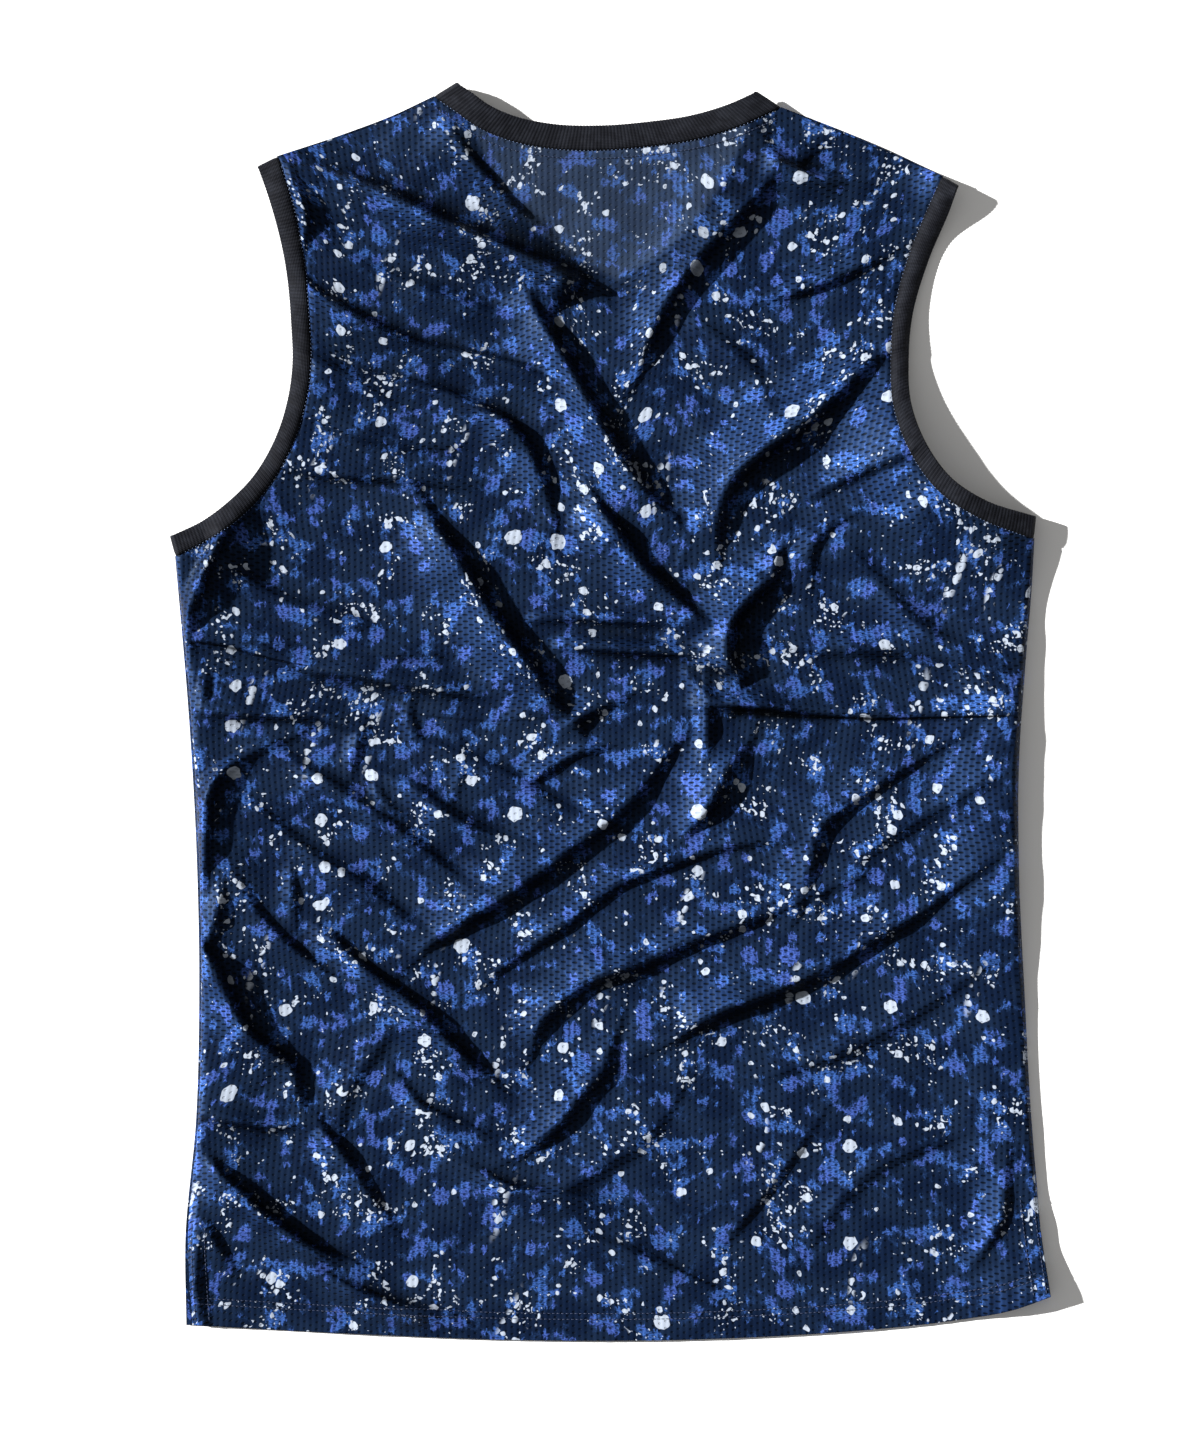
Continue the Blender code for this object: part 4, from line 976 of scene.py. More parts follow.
@dataclass(frozen=True)
class PrintedKnit:
    """Navy mesh knit, printed all over with a random paint splatter.

    A pair holds the values where a ramp starts and is full, or, in crowd_gain,
    hole_dark_and_dash_shade, seen and column, a gain and a start. In wobble_mm and bristle_mm
    it holds the size of the noise's lumps and how far they move a place. Light and shade are
    painted into the colour: a highlight on slopes facing the light, and shade in the eyelets'
    dashes, in hollows and in tight creases.
    """

    name: str = "printed_mesh_knit"
    deep: Colour = (0.0024, 0.0066, 0.0215)
    ground: Colour = (0.0044, 0.0106, 0.0290)
    haze: Colour = (0.0075, 0.0205, 0.0640)
    blue: Colour = (0.0265, 0.0740, 0.2500)
    violet: Colour = (0.0350, 0.0680, 0.2600)
    # painted highlight: the lighter blue that slopes facing the light turn towards
    painted_highlight: Colour = (0.0150, 0.0420, 0.1400)
    white: Colour = (0.3550, 0.4030, 0.4850)
    through: Colour = (0.0450, 0.0660, 0.1100)
    wobble_mm: tuple[float, float] = (3.4, 1.9)
    bristle_mm: tuple[float, float] = (1.2, 4.2)
    bristle_tall: Colour = (1.0, 0.22, 1.0)
    dry_wide: Colour = (1.0, 2.2, 1.0)
    dry: Cloud = Cloud(1.7, 0.36, 0.54)
    dry_least: float = 0.30
    crowd: Cloud = Cloud(30.0, 0.51, 0.73, (5.0, 9.0, 0.0), 2.0, 0.65)
    crowd_gain: tuple[float, float] = (2.0, 0.09)
    hue: tuple[float, float] = (0.38, 0.56)
    mottle: Cloud = Cloud(24.0, 0.36, 0.62)
    blots: Cloud = Cloud(15.0, 0.600, 0.632, (31.0, 47.0, 0.0), 2.0, 0.66)
    hazy: tuple[float, float] = (0.52, 0.59)
    blue_drops: tuple[Drops, ...] = (
        Drops(25.0, 6.4, 0.40, (3.0, 17.0, 0.0), 0.40),
        Drops(9.0, 2.3, 0.26, (57.0, 29.0, 0.0), 0.30),
    )
    lone_drops: Drops = Drops(28.0, 4.7, 0.34, (7.0, 31.0, 0.0))
    crowded_drops: tuple[Drops, ...] = (
        Drops(12.0, 2.9, 0.31, (67.0, 13.0, 0.0)),
        Drops(5.6, 1.5, 0.23, (19.0, 37.0, 0.0)),
        Drops(2.5, 0.66, 0.19, (43.0, 53.0, 0.0)),
    )
    strung_drops: Drops = Drops(6.4, 3.3, 1.0, (2.0, 8.0, 0.0))
    chains: Chains = Chains()
    splats: Cloud = Cloud(5.2, 0.668, 0.688, (3.0, 77.0, 0.0), 1.0, 0.60)
    splat_crowd: tuple[float, float] = (0.60, 1.10)
    drop_power: float = 1.6
    drop_least: float = 0.32
    eyelet_mm: float = 7.1
    rows_mm: float = 2.02
    dot_wide: float = 0.13
    # the holes' half width where painted shade opens them into dashes
    dash_wide: float = 0.27
    eyelet_high: float = 0.33
    eyelet_edge: tuple[float, float] = (0.20, 1.0)
    # painted shade: the slopes along the light's way at which the holes start and finish widening into dark
    # dashes
    shaded_dash_slope: tuple[float, float] = (0.06, 0.28)
    # painted highlight: the slopes towards the light where it starts and where it is full
    painted_highlight_slope: tuple[float, float] = (0.10, 0.38)
    blue_opened: float = 0.40
    # the holes' own dark, deepened by painted shade where the slope opens them into dashes
    hole_dark_and_dash_shade: tuple[float, float] = (0.30, 0.60)
    hole_on_white: float = 0.16
    # painted highlight on slopes that face the light: its share of the colour and its gain in tone
    painted_highlight_share: float = 0.22
    painted_highlight_gain: float = 0.55
    seen: tuple[float, float] = (0.30, 0.28)
    single_least: float = 0.58
    column: tuple[float, float] = (0.40, 0.80)
    white_gain: float = 0.16
    # darkening where the front's neck rib shows through the back, and painted shade on the front's left part
    seen_rib_and_shade_dark: float = 0.45
    # painted shade in hollows: at or below the first share of open sky the cloth takes the hollows' tone,
    # above the second it keeps its own
    sky: tuple[float, float] = (0.66, 0.985)
    hollow_painted_shade: float = 0.18
    # painted shade in the gaps of tight creases
    gap: tuple[float, float] = (0.35, 1.25)
    crease_painted_shade: float = 0.88
    roughness: float = 0.46
    specular: float = 0.07
    glint: Colour = (0.55, 0.75, 1.00)
    relief: float = 0.00030
    wale_relief: float = 0.3
    step_reach: float = 1.6
    step_relief: float = 2.6

    def cloud(self, shade: Shading, place: Socket, cloud: Cloud) -> Socket:
        """A cloud's noise at each place."""
        if any(cloud.offset):
            place = shade.move(place, cloud.offset)
        return shade.noise(place, cloud.size_mm, cloud.detail, cloud.rough)

    def drops(self, shade: Shading, place: Socket, drops: Drops, thick: object = 1.0) -> Socket:
        """A layer of round drops, one at most for each scattered place.

        A drop is there where its place's first random number is under the chance, times
        how thick the splatter is there, and its radius grows with the second.

        Args:
            shade: the material.
            place: the place on the cloth.
            drops: the drops' sizes.
            thick: how thick the splatter is.

        Returns:
            1 on the drops and 0 beside them.
        """
        away, first, second = shade.cells(shade.move(place, drops.offset), drops.spacing_mm)
        chosen = shade.math("LESS_THAN", first, shade.math("MULTIPLY", thick, drops.chance))
        spread = shade.math("POWER", second, self.drop_power)
        share = shade.line(spread, 1.0 - self.drop_least, self.drop_least)
        inside = shade.less(shade.times(share, drops.radius_mm), away)
        return shade.times(chosen, shade.ramp(inside, -drops.soft_mm, drops.soft_mm))

    def streaks(self, shade: Shading, place: Socket) -> Socket:
        """Long narrow places for chains of drops: scattered points seen in stretched coordinates."""
        chains = self.chains
        turn = (0.0, 0.0, chains.turn)
        turned = shade.node("Mapping", {"Vector": place, "Rotation": turn}, vector_type="POINT")
        bent = shade.shaken(turned.outputs[0], *chains.bend_mm)
        squeezed = shade.stretch(bent, (1.0, chains.squeeze, 1.0))
        away, first, _ = shade.cells(shade.move(squeezed, chains.offset), chains.spacing_mm)
        filled = shade.math("LESS_THAN", first, chains.share)
        return shade.times(filled, shade.ramp(away, *chains.edge_mm, 1.0, 0.0))

    def bristled(self, shade: Shading, place: Socket) -> Socket:
        """A place shaken up and down by noise that changes from column to column, for brushed edges."""
        tall = shade.stretch(place, self.bristle_tall)
        size, reach = self.bristle_mm
        push = shade.times(shade.less(shade.noise(tall, size, 0.0), 0.5), reach)
        parts = shade.node("SeparateXYZ", {0: place})
        moved = shade.math("ADD", parts.outputs[1], push)
        return shade.node("CombineXYZ", {0: parts.outputs[0], 1: moved}).outputs[0]

    def splatter(self, shade: Shading, cloth: Socket) -> tuple[Socket, Socket, Socket]:
        """The print: mottled ground, blue blots and drops, then white drops, chains and splats.

        The white drops crowd where the crowd's cloud is thick. The blue ones are brushed
        up and down, and thin where the brush was dry.

        Args:
            shade: the material.
            cloth: the place on the cloth.

        Returns:
            The colour, and how white and how blue each place is.
        """
        wobbly = shade.shaken(cloth, *self.wobble_mm)
        brushed = self.bristled(shade, wobbly)
        dry = self.cloud(shade, shade.stretch(cloth, self.dry_wide), self.dry)
        dry = shade.ramp(dry, self.dry.start, self.dry.full, self.dry_least, 1.0)
        crowd = self.cloud(shade, cloth, self.crowd)
        thick = shade.line(shade.ramp(crowd, self.crowd.start, self.crowd.full), *self.crowd_gain)
        mottle = shade.ramp(self.cloud(shade, cloth, self.mottle), self.mottle.start, self.mottle.full)
        colour = shade.mix(mottle, self.deep, self.ground)
        blots = self.cloud(shade, brushed, self.blots)
        colour = shade.mix(shade.times(shade.ramp(blots, *self.hazy), dry), colour, self.haze)
        blue = shade.times(shade.ramp(blots, self.blots.start, self.blots.full), dry)
        for layer in self.blue_drops:
            drops = shade.times(self.drops(shade, brushed, layer), dry)
            blue = shade.math("MAXIMUM", blue, drops)
        hue = shade.mix(shade.ramp(crowd, *self.hue), self.violet, self.blue)
        colour = shade.mix(blue, colour, hue)
        layers = [self.drops(shade, wobbly, layer, thick) for layer in self.crowded_drops]
        chain = self.streaks(shade, cloth)
        layers.append(shade.times(self.drops(shade, wobbly, self.strung_drops), chain))
        splats = shade.ramp(self.cloud(shade, wobbly, self.splats), self.splats.start, self.splats.full)
        layers.append(shade.times(splats, shade.ramp(thick, *self.splat_crowd)))
        white = self.drops(shade, wobbly, self.lone_drops)
        for layer in layers:
            white = shade.math("MAXIMUM", white, layer)
        return shade.mix(white, colour, self.white), white, blue

    def lattice(self, shade: Shading, cloth: Socket, wide: Socket) -> Socket:
        """The knit's holes: pointed ovals in rows, each row half a step aside from the one below.

        A hole's depth falls from 1 at its middle to 0 where two numbers add up to 1: the
        cube of its distance across, over its half width, and the square of its distance
        up, over its half height.

        Args:
            shade: the material.
            cloth: the place on the cloth.
            wide: a hole's half width, as a share of the step across.

        Returns:
            How deep each place lies in a hole.
        """
        parts = shade.node("SeparateXYZ", {0: cloth})
        up = shade.math("DIVIDE", parts.outputs[1], self.rows_mm)
        odd = shade.times(shade.math("PINGPONG", shade.math("FLOOR", up), 1.0), 0.5)
        across = shade.math("ADD", shade.math("DIVIDE", parts.outputs[0], self.eyelet_mm), odd)
        aside = shade.size_of(shade.less(shade.math("FRACT", across), 0.5))
        above = shade.size_of(shade.less(shade.math("FRACT", up), 0.5))
        height = shade.math("POWER", shade.math("DIVIDE", above, self.eyelet_high), 2.0)
        width = shade.math("POWER", shade.math("DIVIDE", aside, wide), 3.0)
        return shade.ramp(shade.math("ADD", width, height), *self.eyelet_edge, 1.0, 0.0)

    def wales(self, shade: Shading, cloth: Socket) -> Socket:
        """Upright columns, two for each step between the holes: 0 along the holes and 1 between."""
        parts = shade.node("SeparateXYZ", {0: cloth})
        turns = shade.times(parts.outputs[0], 4.0 * math.pi / self.eyelet_mm)
        return shade.line(shade.math("COSINE", turns), -0.5, 0.5)

    def build(self) -> bpy.types.Material:
        """The material: the print, shaded by the knit and paler where only one layer lies.

        Where the cloth tilts along the light's way, towards it or away from it, its holes
        are painted as dark dashes of shade, and where it tilts towards the light the yarn
        gets a painted highlight. Hollows and tight creases get painted shade.
        """
        shade = Shading(self.name)
        cloth = shade.cloth_mm()
        facing = shade.attribute("facing")
        # painted shade: where the cloth tilts along the light's way, the holes widen into dark dashes
        slope = shade.ramp(shade.size_of(facing), *self.shaded_dash_slope)
        hole = self.lattice(shade, cloth, shade.line(slope, self.dash_wide - self.dot_wide, self.dot_wide))
        wale = self.wales(shade, cloth)
        printed, white, blue = self.splatter(shade, cloth)
        single = shade.attribute("single_layer")
        crease = shade.attribute("crease")
        near = shade.attribute("crease_near")
        dark = shade.less(1.0, white)
        # painted highlight: cloth that tilts towards the light is lit up in its colour
        painted_highlight = shade.times(shade.ramp(facing, *self.painted_highlight_slope), dark)
        # the holes' own dark, deepened on slopes by painted shade; the blue print opens them too
        opened = shade.math("MAXIMUM", slope, shade.times(blue, self.blue_opened))
        depth = shade.times(shade.line(opened, *self.hole_dark_and_dash_shade), dark)
        depth = shade.math("MULTIPLY_ADD", white, self.hole_on_white, depth)
        shadow = shade.less(1.0, shade.times(hole, depth))
        shadow = shade.math("MAXIMUM", shadow, shade.times(single, self.single_least))
        # painted shade: the gap along a tight crease is darkened
        gap = shade.times(shade.ramp(shade.size_of(crease), *self.gap, 1.0, 0.0), near)
        tone = shade.times(
            shadow,
            shade.line(shade.times(wale, dark), *self.column),
            # painted highlight: brighter where the cloth faces the light
            shade.line(painted_highlight, self.painted_highlight_gain, 1.0),
            shade.line(white, self.white_gain, 1.0),
            # the front's neck rib seen through the back, and painted shade on the front's left part
            shade.line(shade.attribute("seen_rib_and_painted_shade"), -self.seen_rib_and_shade_dark, 1.0),
            # painted shade: darker where a point sees less of the sky, in the folds' hollows
            shade.ramp(shade.attribute("open_sky"), *self.sky, self.hollow_painted_shade, 1.0),
            # painted shade in tight creases
            shade.line(gap, -self.crease_painted_shade, 1.0),
        )
        # painted highlight: lighter blue on slopes that face the light
        colour = shade.mix(shade.times(painted_highlight, self.painted_highlight_share), printed, self.painted_highlight)
        see = shade.times(single, shade.line(hole, *self.seen), dark)
        colour = shade.mix(see, colour, self.through)
        shade.finish(shade.darken(colour, tone), self.roughness, self.specular)
        shade.feed(shade.shader.inputs["Specular Tint"], self.glint)
        knit = shade.less(shade.times(wale, self.wale_relief), hole)
        step = shade.times(shade.ramp(crease, -self.step_reach, self.step_reach), near)
        shade.bump(shade.math("MULTIPLY_ADD", step, self.step_relief, knit), self.relief)
        return shade.material


@dataclass(frozen=True)
class RibKnit:
    """Matte black rib knit. Its wales are in the mesh, and its loops are in the bump."""

    name: str = "black_rib_knit"
    colour: Colour = (0.0060, 0.0066, 0.0098)
    worn: Colour = (0.0115, 0.0128, 0.0180)
    loop_mm: float = 0.9
    # painted shade in the grooves between the wales and along the seam
    groove_painted_shade: float = 0.45
    patch: Cloud = Cloud(7.0, 0.35, 0.70, detail=3.0, rough=0.6)
    lint_mm: float = 0.5
    loop_relief: float = 0.4
    relief: float = 0.00012
    roughness: float = 0.72
    specular: float = 0.08

    def build(self) -> bpy.types.Material:
        """The material: two close greys in soft patches, with painted shade in the grooves between the wales
        and along the seam, and the loops along each wale.
        """
        shade = Shading(self.name)
        cloth = shade.cloth_mm()
        lumps = shade.noise(cloth, self.patch.size_mm, self.patch.detail, self.patch.rough)
        patch = shade.ramp(lumps, self.patch.start, self.patch.full)
        # painted shade: darker in the grooves between the wales and along the seam
        tone = shade.line(shade.attribute("groove"), -self.groove_painted_shade, 1.0)
        colour = shade.mix(patch, self.colour, self.worn)
        shade.finish(shade.darken(colour, tone), self.roughness, self.specular)
        parts = shade.node("SeparateXYZ", {0: cloth})
        turns = shade.times(parts.outputs[1], 2.0 * math.pi / self.loop_mm)
        loops = shade.times(shade.math("COSINE", turns), self.loop_relief)
        shade.bump(shade.math("ADD", loops, shade.noise(cloth, self.lint_mm, 2.0)), self.relief)
        return shade.material


@dataclass(frozen=True)
class Thread:
    """Spun polyester sewing thread."""

    name: str
    colour: Colour
    roughness: float = 0.5

    def build(self) -> bpy.types.Material:
        """The material: one colour with a little unevenness and a fine twist."""
        shade = Shading(self.name)
        place = shade.node("TexCoord", {}).outputs["Object"]
        uneven = shade.noise(place, 0.0012, 2.0)
        pale = tuple(min(1.0, 1.7 * c) for c in self.colour)
        shade.finish(shade.mix(uneven, self.colour, pale), self.roughness)
        shade.bump(shade.noise(place, 0.0002, 1.0), 0.00005)
        return shade.material


def patch(edges: Sequence[Array], across: Array, along: Array) -> Array:
    """A grid spanned between four edges: its two ruled surfaces less the bilinear one.

    Args:
        edges: the bottom and top, from left to right, and the left and right, going up.
        across: the columns' shares of the width.
        along: the rows' shares of the height.

    Returns:
        Rows and columns of x and y.
    """
    bottom, top, left, right = edges
    s = across[None, :, None]
    t = along[:, None, None]
    ruled = (1 - t) * bottom[None] + t * top[None] + (1 - s) * left[:, None] + s * right[:, None]
    corners = (1 - t) * ((1 - s) * bottom[0] + s * bottom[-1]) + t * ((1 - s) * top[0] + s * top[-1])
    return ruled - corners


def cloth_places(points: Array, even_rows: int = 12) -> Array:
    """Each grid point's place on the flat cloth.

    To its place in plan comes the extra length that the folds take up along its row,
    counted from the middle column and evened out over the rows nearby, and the same up
    its column.

    Args:
        points: rows and columns of x, y and z.
        even_rows: the number of rows, and columns, over which the extra length is evened.

    Returns:
        Rows and columns of u and v, in metres.
    """
    places = points[..., :2].copy()
    for axis in (1, 0):
        step = np.diff(points, axis=axis)
        extra = np.linalg.norm(step, axis=2) - np.hypot(step[..., 0], step[..., 1])
        run = np.pad(np.cumsum(extra, axis=axis), [(1 - axis, 0), (axis, 0)])
        run = run - np.take(run, [run.shape[axis] // 2], axis=axis)
        parts = neighbours(run, even_rows, 1 - axis)
        places[..., 1 - axis] += sum(parts) / len(parts)
    return places


def lowest(grid: Array, reach: int) -> Array:
    """The lowest value within some cells of each cell, along both axes."""
    for axis in (0, 1):
        grid = np.min(neighbours(grid, reach, axis), axis=0)
    return grid


def shell_mesh(name: str, outer: Array, inner: Array, every: int) -> bpy.types.Mesh:
    """A closed shell with a fine outer side and a coarser inner side.

    The rim has one face for each step of the inner side and its steps of the outer side,
    shaded flat.

    Args:
        name: the mesh's name.
        outer: the outer side's rows and columns of points.
        inner: the points under some of them.
        every: how many steps of the outer side go to one of the inner side.

    Returns:
        The mesh.
    """
    rows, columns = outer.shape[:2]
    fine = np.arange(rows * columns).reshape(rows, columns)
    coarse = np.arange(inner.shape[0] * inner.shape[1]).reshape(inner.shape[:2]) + fine.size
    top = np.stack([fine[:-1, :-1], fine[:-1, 1:], fine[1:, 1:], fine[1:, :-1]], axis=-1)
    low = np.stack([coarse[:-1, :-1], coarse[1:, :-1], coarse[1:, 1:], coarse[:-1, 1:]], axis=-1)
    above = (fine[0], fine[:, -1], fine[-1, ::-1], fine[::-1, 0])
    below = (coarse[0], coarse[:, -1], coarse[-1, ::-1], coarse[::-1, 0])
    rim = []
    for a, b in zip(above, below):
        steps = [a[k : len(a) - every + k : every] for k in range(every + 1)]
        rim.append(np.stack([b[:-1], b[1:], *steps[::-1]], axis=-1))
    rim = np.concatenate(rim)
    places = np.concatenate([outer.reshape(-1, 3), inner.reshape(-1, 3)])
    sides = top.reshape(-1, 4).tolist() + low.reshape(-1, 4).tolist()
    mesh = new_mesh(name, places, sides + rim.tolist())
    smooth = np.ones(len(mesh.polygons), bool)
    smooth[-len(rim) :] = False
    mesh.polygons.foreach_set("use_smooth", smooth)
    return mesh


@dataclass
class Panels:
    """The front and back panels of mesh knit."""

    lay: Lay
    wall: float = 0.0011
    seam_dip: float = 0.0005
    seam_reach: float = 0.0012
    peek: float = 0.0012
    vent_peek: float = 0.0035
    columns: int = 256
    body_rows: int = 240
    yoke_rows: int = 116
    every: int = 4
    shoulder_peek: float = 0.0013
    close: tuple[float, ...] = (0.0, 0.0006, 0.0014, 0.0025, 0.0040, 0.0060, 0.0085, 0.0112)
    front_scale: float = 0.55
    side_fall: float = 0.05
    hem_ripple: float = 0.00016
    ripple_length: float = 0.0115
    hem_end: float = 0.0015
    groove_rows: tuple[float, float] = (0.0125, 0.0160)
    groove_reach: float = 0.0008
    groove_depth: float = 0.0003
    crease_reach: float = 0.005
    crease_fade: float = 0.003
    crease_ends: float = 10.0
    rib_fade: float = 0.0030
    rib_top: float = 0.3499
    v_fade: float = 0.005

    def shares(self, length: float, count: int, both: bool = True) -> Array:
        """Places along an edge: close together at its ends, even steps between."""
        near = np.array(self.close)
        last = length - near[-1] if both else length
        even = np.linspace(near[-1], last, count - (len(near) - 1) * (2 if both else 1))
        ends = (length - near[:-1])[::-1] if both else np.array([])
        return np.concatenate([near[:-1], even, ends]) / length

    def top_edge(self, across: Array, neck_parts: Sequence[Array], peek: float) -> Array:
        """A panel's top: shoulder, the neck seam's parts and shoulder, the shoulders moved up by a peek."""
        span = RIGHT_SHOULDER[0] - LEFT_SHOULDER[0]
        necks = (np.array([LEFT_NECK[0], RIGHT_NECK[0]]) - LEFT_SHOULDER[0]) / span
        first, last = (int(np.abs(across - share).argmin()) for share in necks)
        breaks = np.linspace(first, last, len(neck_parts) + 1).round().astype(int)
        moved = np.array([[0.0, 0.0], [0.0, peek], [0.0, peek], [0.0, 0.0]])
        pieces = [np.array(LEFT_SHOULDER_LINE) + moved, *neck_parts, np.array(RIGHT_SHOULDER_LINE) + moved]
        ends = [0, *breaks, len(across) - 1]
        edge = [smooth_curve(pieces[0], self.stretch(across, 0, ends[1]))]
        for line, start, stop in zip(pieces[1:], ends[1:-1], ends[2:]):
            edge.append(smooth_curve(line, self.stretch(across, start, stop))[1:])
        return np.concatenate(edge)

    def stretch(self, across: Array, first: int, last: int) -> Array:
        """The shares of the columns from first to last along their own stretch of an edge."""
        return (across[first : last + 1] - across[first]) / (across[last] - across[first])

    def plan(
        self, scale: float, neck_parts: Sequence[Array], left_side: Array, hem: Array, peek: float = 0.0
    ) -> Array:
        """A panel's plan, from the hem up: a body patch and a yoke patch.

        Args:
            scale: the number of rows and columns, as a share of the full number.
            neck_parts: the curves of the neck seam.
            left_side: the left edge, going up.
            hem: the bottom edge.
            peek: how far the shoulders' edges are moved up.

        Returns:
            Rows and columns of x and y.
        """
        sizes = (self.columns, self.body_rows, self.yoke_rows)
        counts = [self.every * round(size * scale / self.every) + 1 for size in sizes]
        across = self.shares(RIGHT_ARMPIT[0] - LEFT_ARMPIT[0], counts[0])
        body = self.shares(LEFT_ARMPIT[1] - HEM[0][1], counts[1], both=False)
        yoke = 1.0 - self.shares(LEFT_SHOULDER[1] - LEFT_ARMPIT[1], counts[2], both=False)[::-1]
        chest = smooth_curve((LEFT_ARMPIT, RIGHT_ARMPIT), across)
        sides = smooth_curve(left_side, body), smooth_curve(RIGHT_SIDE, body)
        lower = patch((smooth_curve(hem, across), chest, *sides), across, body)
        arms = smooth_curve(LEFT_ARM_SEAM, yoke), smooth_curve(RIGHT_ARM_SEAM, yoke)
        upper = patch((chest, self.top_edge(across, neck_parts, peek), *arms), across, yoke)
        return np.concatenate([lower, upper[1:]])

    def dipped(self, flat: Array, *seams: Sequence[Sequence[float]]) -> Array:
        """How far the cloth sinks into its rib seams: a bell curve across them."""
        near = distance_to(flat, *seams)
        return self.seam_dip * bell(near, self.seam_reach)

    def hem_relief(self, flat: Array) -> Array:
        """The double hem stands a little proud, with a groove under each row of stitches."""
        near = distance_to(flat, HEM)
        shift = 3.0 * np.sin(flat[:, 0] * 60.0)
        ripple = self.hem_ripple * np.sin(flat[:, 0] * 2.0 * math.pi / self.ripple_length + shift)
        edge = smooth_step(1.0 - (near - HEM_DEPTH) / self.hem_end)
        grooves = sum(bell(near - row, self.groove_reach) for row in self.groove_rows)
        return edge * ripple - self.groove_depth * grooves

    def back_surface(self, flat: Array) -> Array:
        """The height of the back panel's outer side."""
        dip = self.dipped(flat, LEFT_ARM_SEAM, RIGHT_ARM_SEAM, BACK_NECK_SEAM)
        return self.lay.back(flat) + CLOTH - dip + self.hem_relief(flat)

    def front_surface(self, flat: Array) -> Array:
        """The height of the front panel's upper side."""
        return self.lay.front(flat) + CLOTH

    def creased(self, flat: Array) -> tuple[Array, Array]:
        """Where the tight creases are.

        Returns:
            For each point the signed distance to the nearest crease, over its gap's half
            width, and 1 near it and 0 from 8 mm on and past its ends.
        """
        nearest = np.full(len(flat), 9.0)
        weight = np.zeros(len(flat))
        closest = np.full(len(flat), 1.0)
        for crease in CREASES:
            away, share, along, half = from_path(flat, np.array(crease.path_mm, float) * MM)
            across = away[:, 1] * along[:, 0] - away[:, 0] * along[:, 1]
            far = np.linalg.norm(away, axis=1)
            ends = smooth_step(self.crease_ends * share) * smooth_step(self.crease_ends * (1.0 - share))
            fade = 1.0 - smooth_step((far - self.crease_reach) / self.crease_fade)
            closer = far < closest
            closest = np.where(closer, far, closest)
            nearest = np.where(closer, across / half, nearest)
            weight = np.where(closer, crease.depth * ends * fade, weight)
        return nearest, weight

    def see_through(self, flat: Array) -> tuple[Array, Array]:
        """Where only the floor lies under the back, and where the front's neck rib does.

        Returns:
            For each point 1 inside the front's V and 0 outside it, and 1 over its rib
            and 0 beside it, both with soft edges.
        """
        outline = np.concatenate([fine_line(LEFT_V), fine_line(RIGHT_V)[::-1]])
        x, y = flat[:, :1], flat[:, 1:]
        start, end = outline, np.roll(outline, -1, axis=0)
        rise = end[:, 1] - start[:, 1]
        rise = np.where(rise == 0.0, 1e-12, rise)
        crosses = (start[:, 1] > y) != (end[:, 1] > y)
        left_of = x < start[:, 0] + (y - start[:, 1]) / rise * (end[:, 0] - start[:, 0])
        inside = (crosses & left_of).sum(axis=1) % 2 == 1
        near = distance_to(flat, LEFT_V, RIGHT_V)
        signed = np.where(inside, near, -near)
        rib = near + distance_to(flat, LEFT_V_SEAM, RIGHT_V_SEAM)
        over_rib = smooth_step((NECK_RIB_WIDTH + self.rib_fade - rib) / self.rib_fade)
        over_rib = over_rib * (flat[:, 1] < self.rib_top)
        return smooth_step(signed / self.v_fade + 0.2), over_rib * (1.0 - inside)

    def add(
        self,
        name: str,
        plan: Array,
        heights: Array,
        material: bpy.types.Material,
        values: dict[str, Array],
    ) -> bpy.types.Object:
        """One panel as a thin shell, in place of its solid.

        Its finish also reads how steeply it climbs the way that the light travels: less
        the normal's part along that way, over its upward part.

        Args:
            name: the solid's name.
            plan: rows and columns of x and y.
            heights: the upper side's height at each of them.
            material: its finish.
            values: numbers for the finish to read, one for each point.

        Returns:
            The piece.
        """
        points = drawn_in(np.concatenate([plan, heights.reshape(plan.shape[:2] + (1,))], axis=2))
        normal = unit(np.cross(np.gradient(points, axis=1), np.gradient(points, axis=0)))
        every = self.every
        inner = (points - normal * self.wall)[::every, ::every]
        inner[..., 2] = np.minimum(inner[..., 2], lowest(points[..., 2], every)[::every, ::every] - self.wall)
        mesh = shell_mesh(name + "_cloth", points, inner, every)
        places = cloth_places(points)
        set_uv(mesh, np.concatenate([places.reshape(-1, 2), places[::every, ::every].reshape(-1, 2)]))
        # how steeply the cloth climbs along the light's way, from which the finish paints highlight and shade
        climb = -(normal[..., :2] @ RAKE) / normal[..., 2]
        for key, value in {**values, "facing": climb}.items():
            grid = value.reshape(plan.shape[:2])
            set_values(mesh, key, np.concatenate([grid.ravel(), grid[::every, ::every].ravel()]))
        piece = add_piece(mesh, material)
        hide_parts(name)
        return piece

    def build(self, material: bpy.types.Material) -> tuple[bpy.types.Object, bpy.types.Object]:
        """Makes the front and then the back."""
        top = HEM[0][1] + VENT_HEIGHT
        side = np.array(LEFT_SIDE)
        below = np.clip((top - side[:, 1]) / VENT_HEIGHT, 0.0, 1.0)
        above = smooth_step((LEFT_ARMPIT[1] - side[:, 1]) / self.side_fall)
        side[:, 0] -= (self.peek + (self.vent_peek - self.peek) * below) * above
        hem = np.array(HEM)
        hem[0] = side[0]
        neck = LEFT_V_SEAM, RIGHT_V_SEAM[::-1]
        front_plan = self.plan(self.front_scale, neck, side, hem, self.shoulder_peek)
        flat = front_plan.reshape(-1, 2)
        names = ("single_layer", "crease", "crease_near")
        plain = {name: np.zeros(len(flat)) for name in names}
        plain["open_sky"] = np.ones(len(flat))
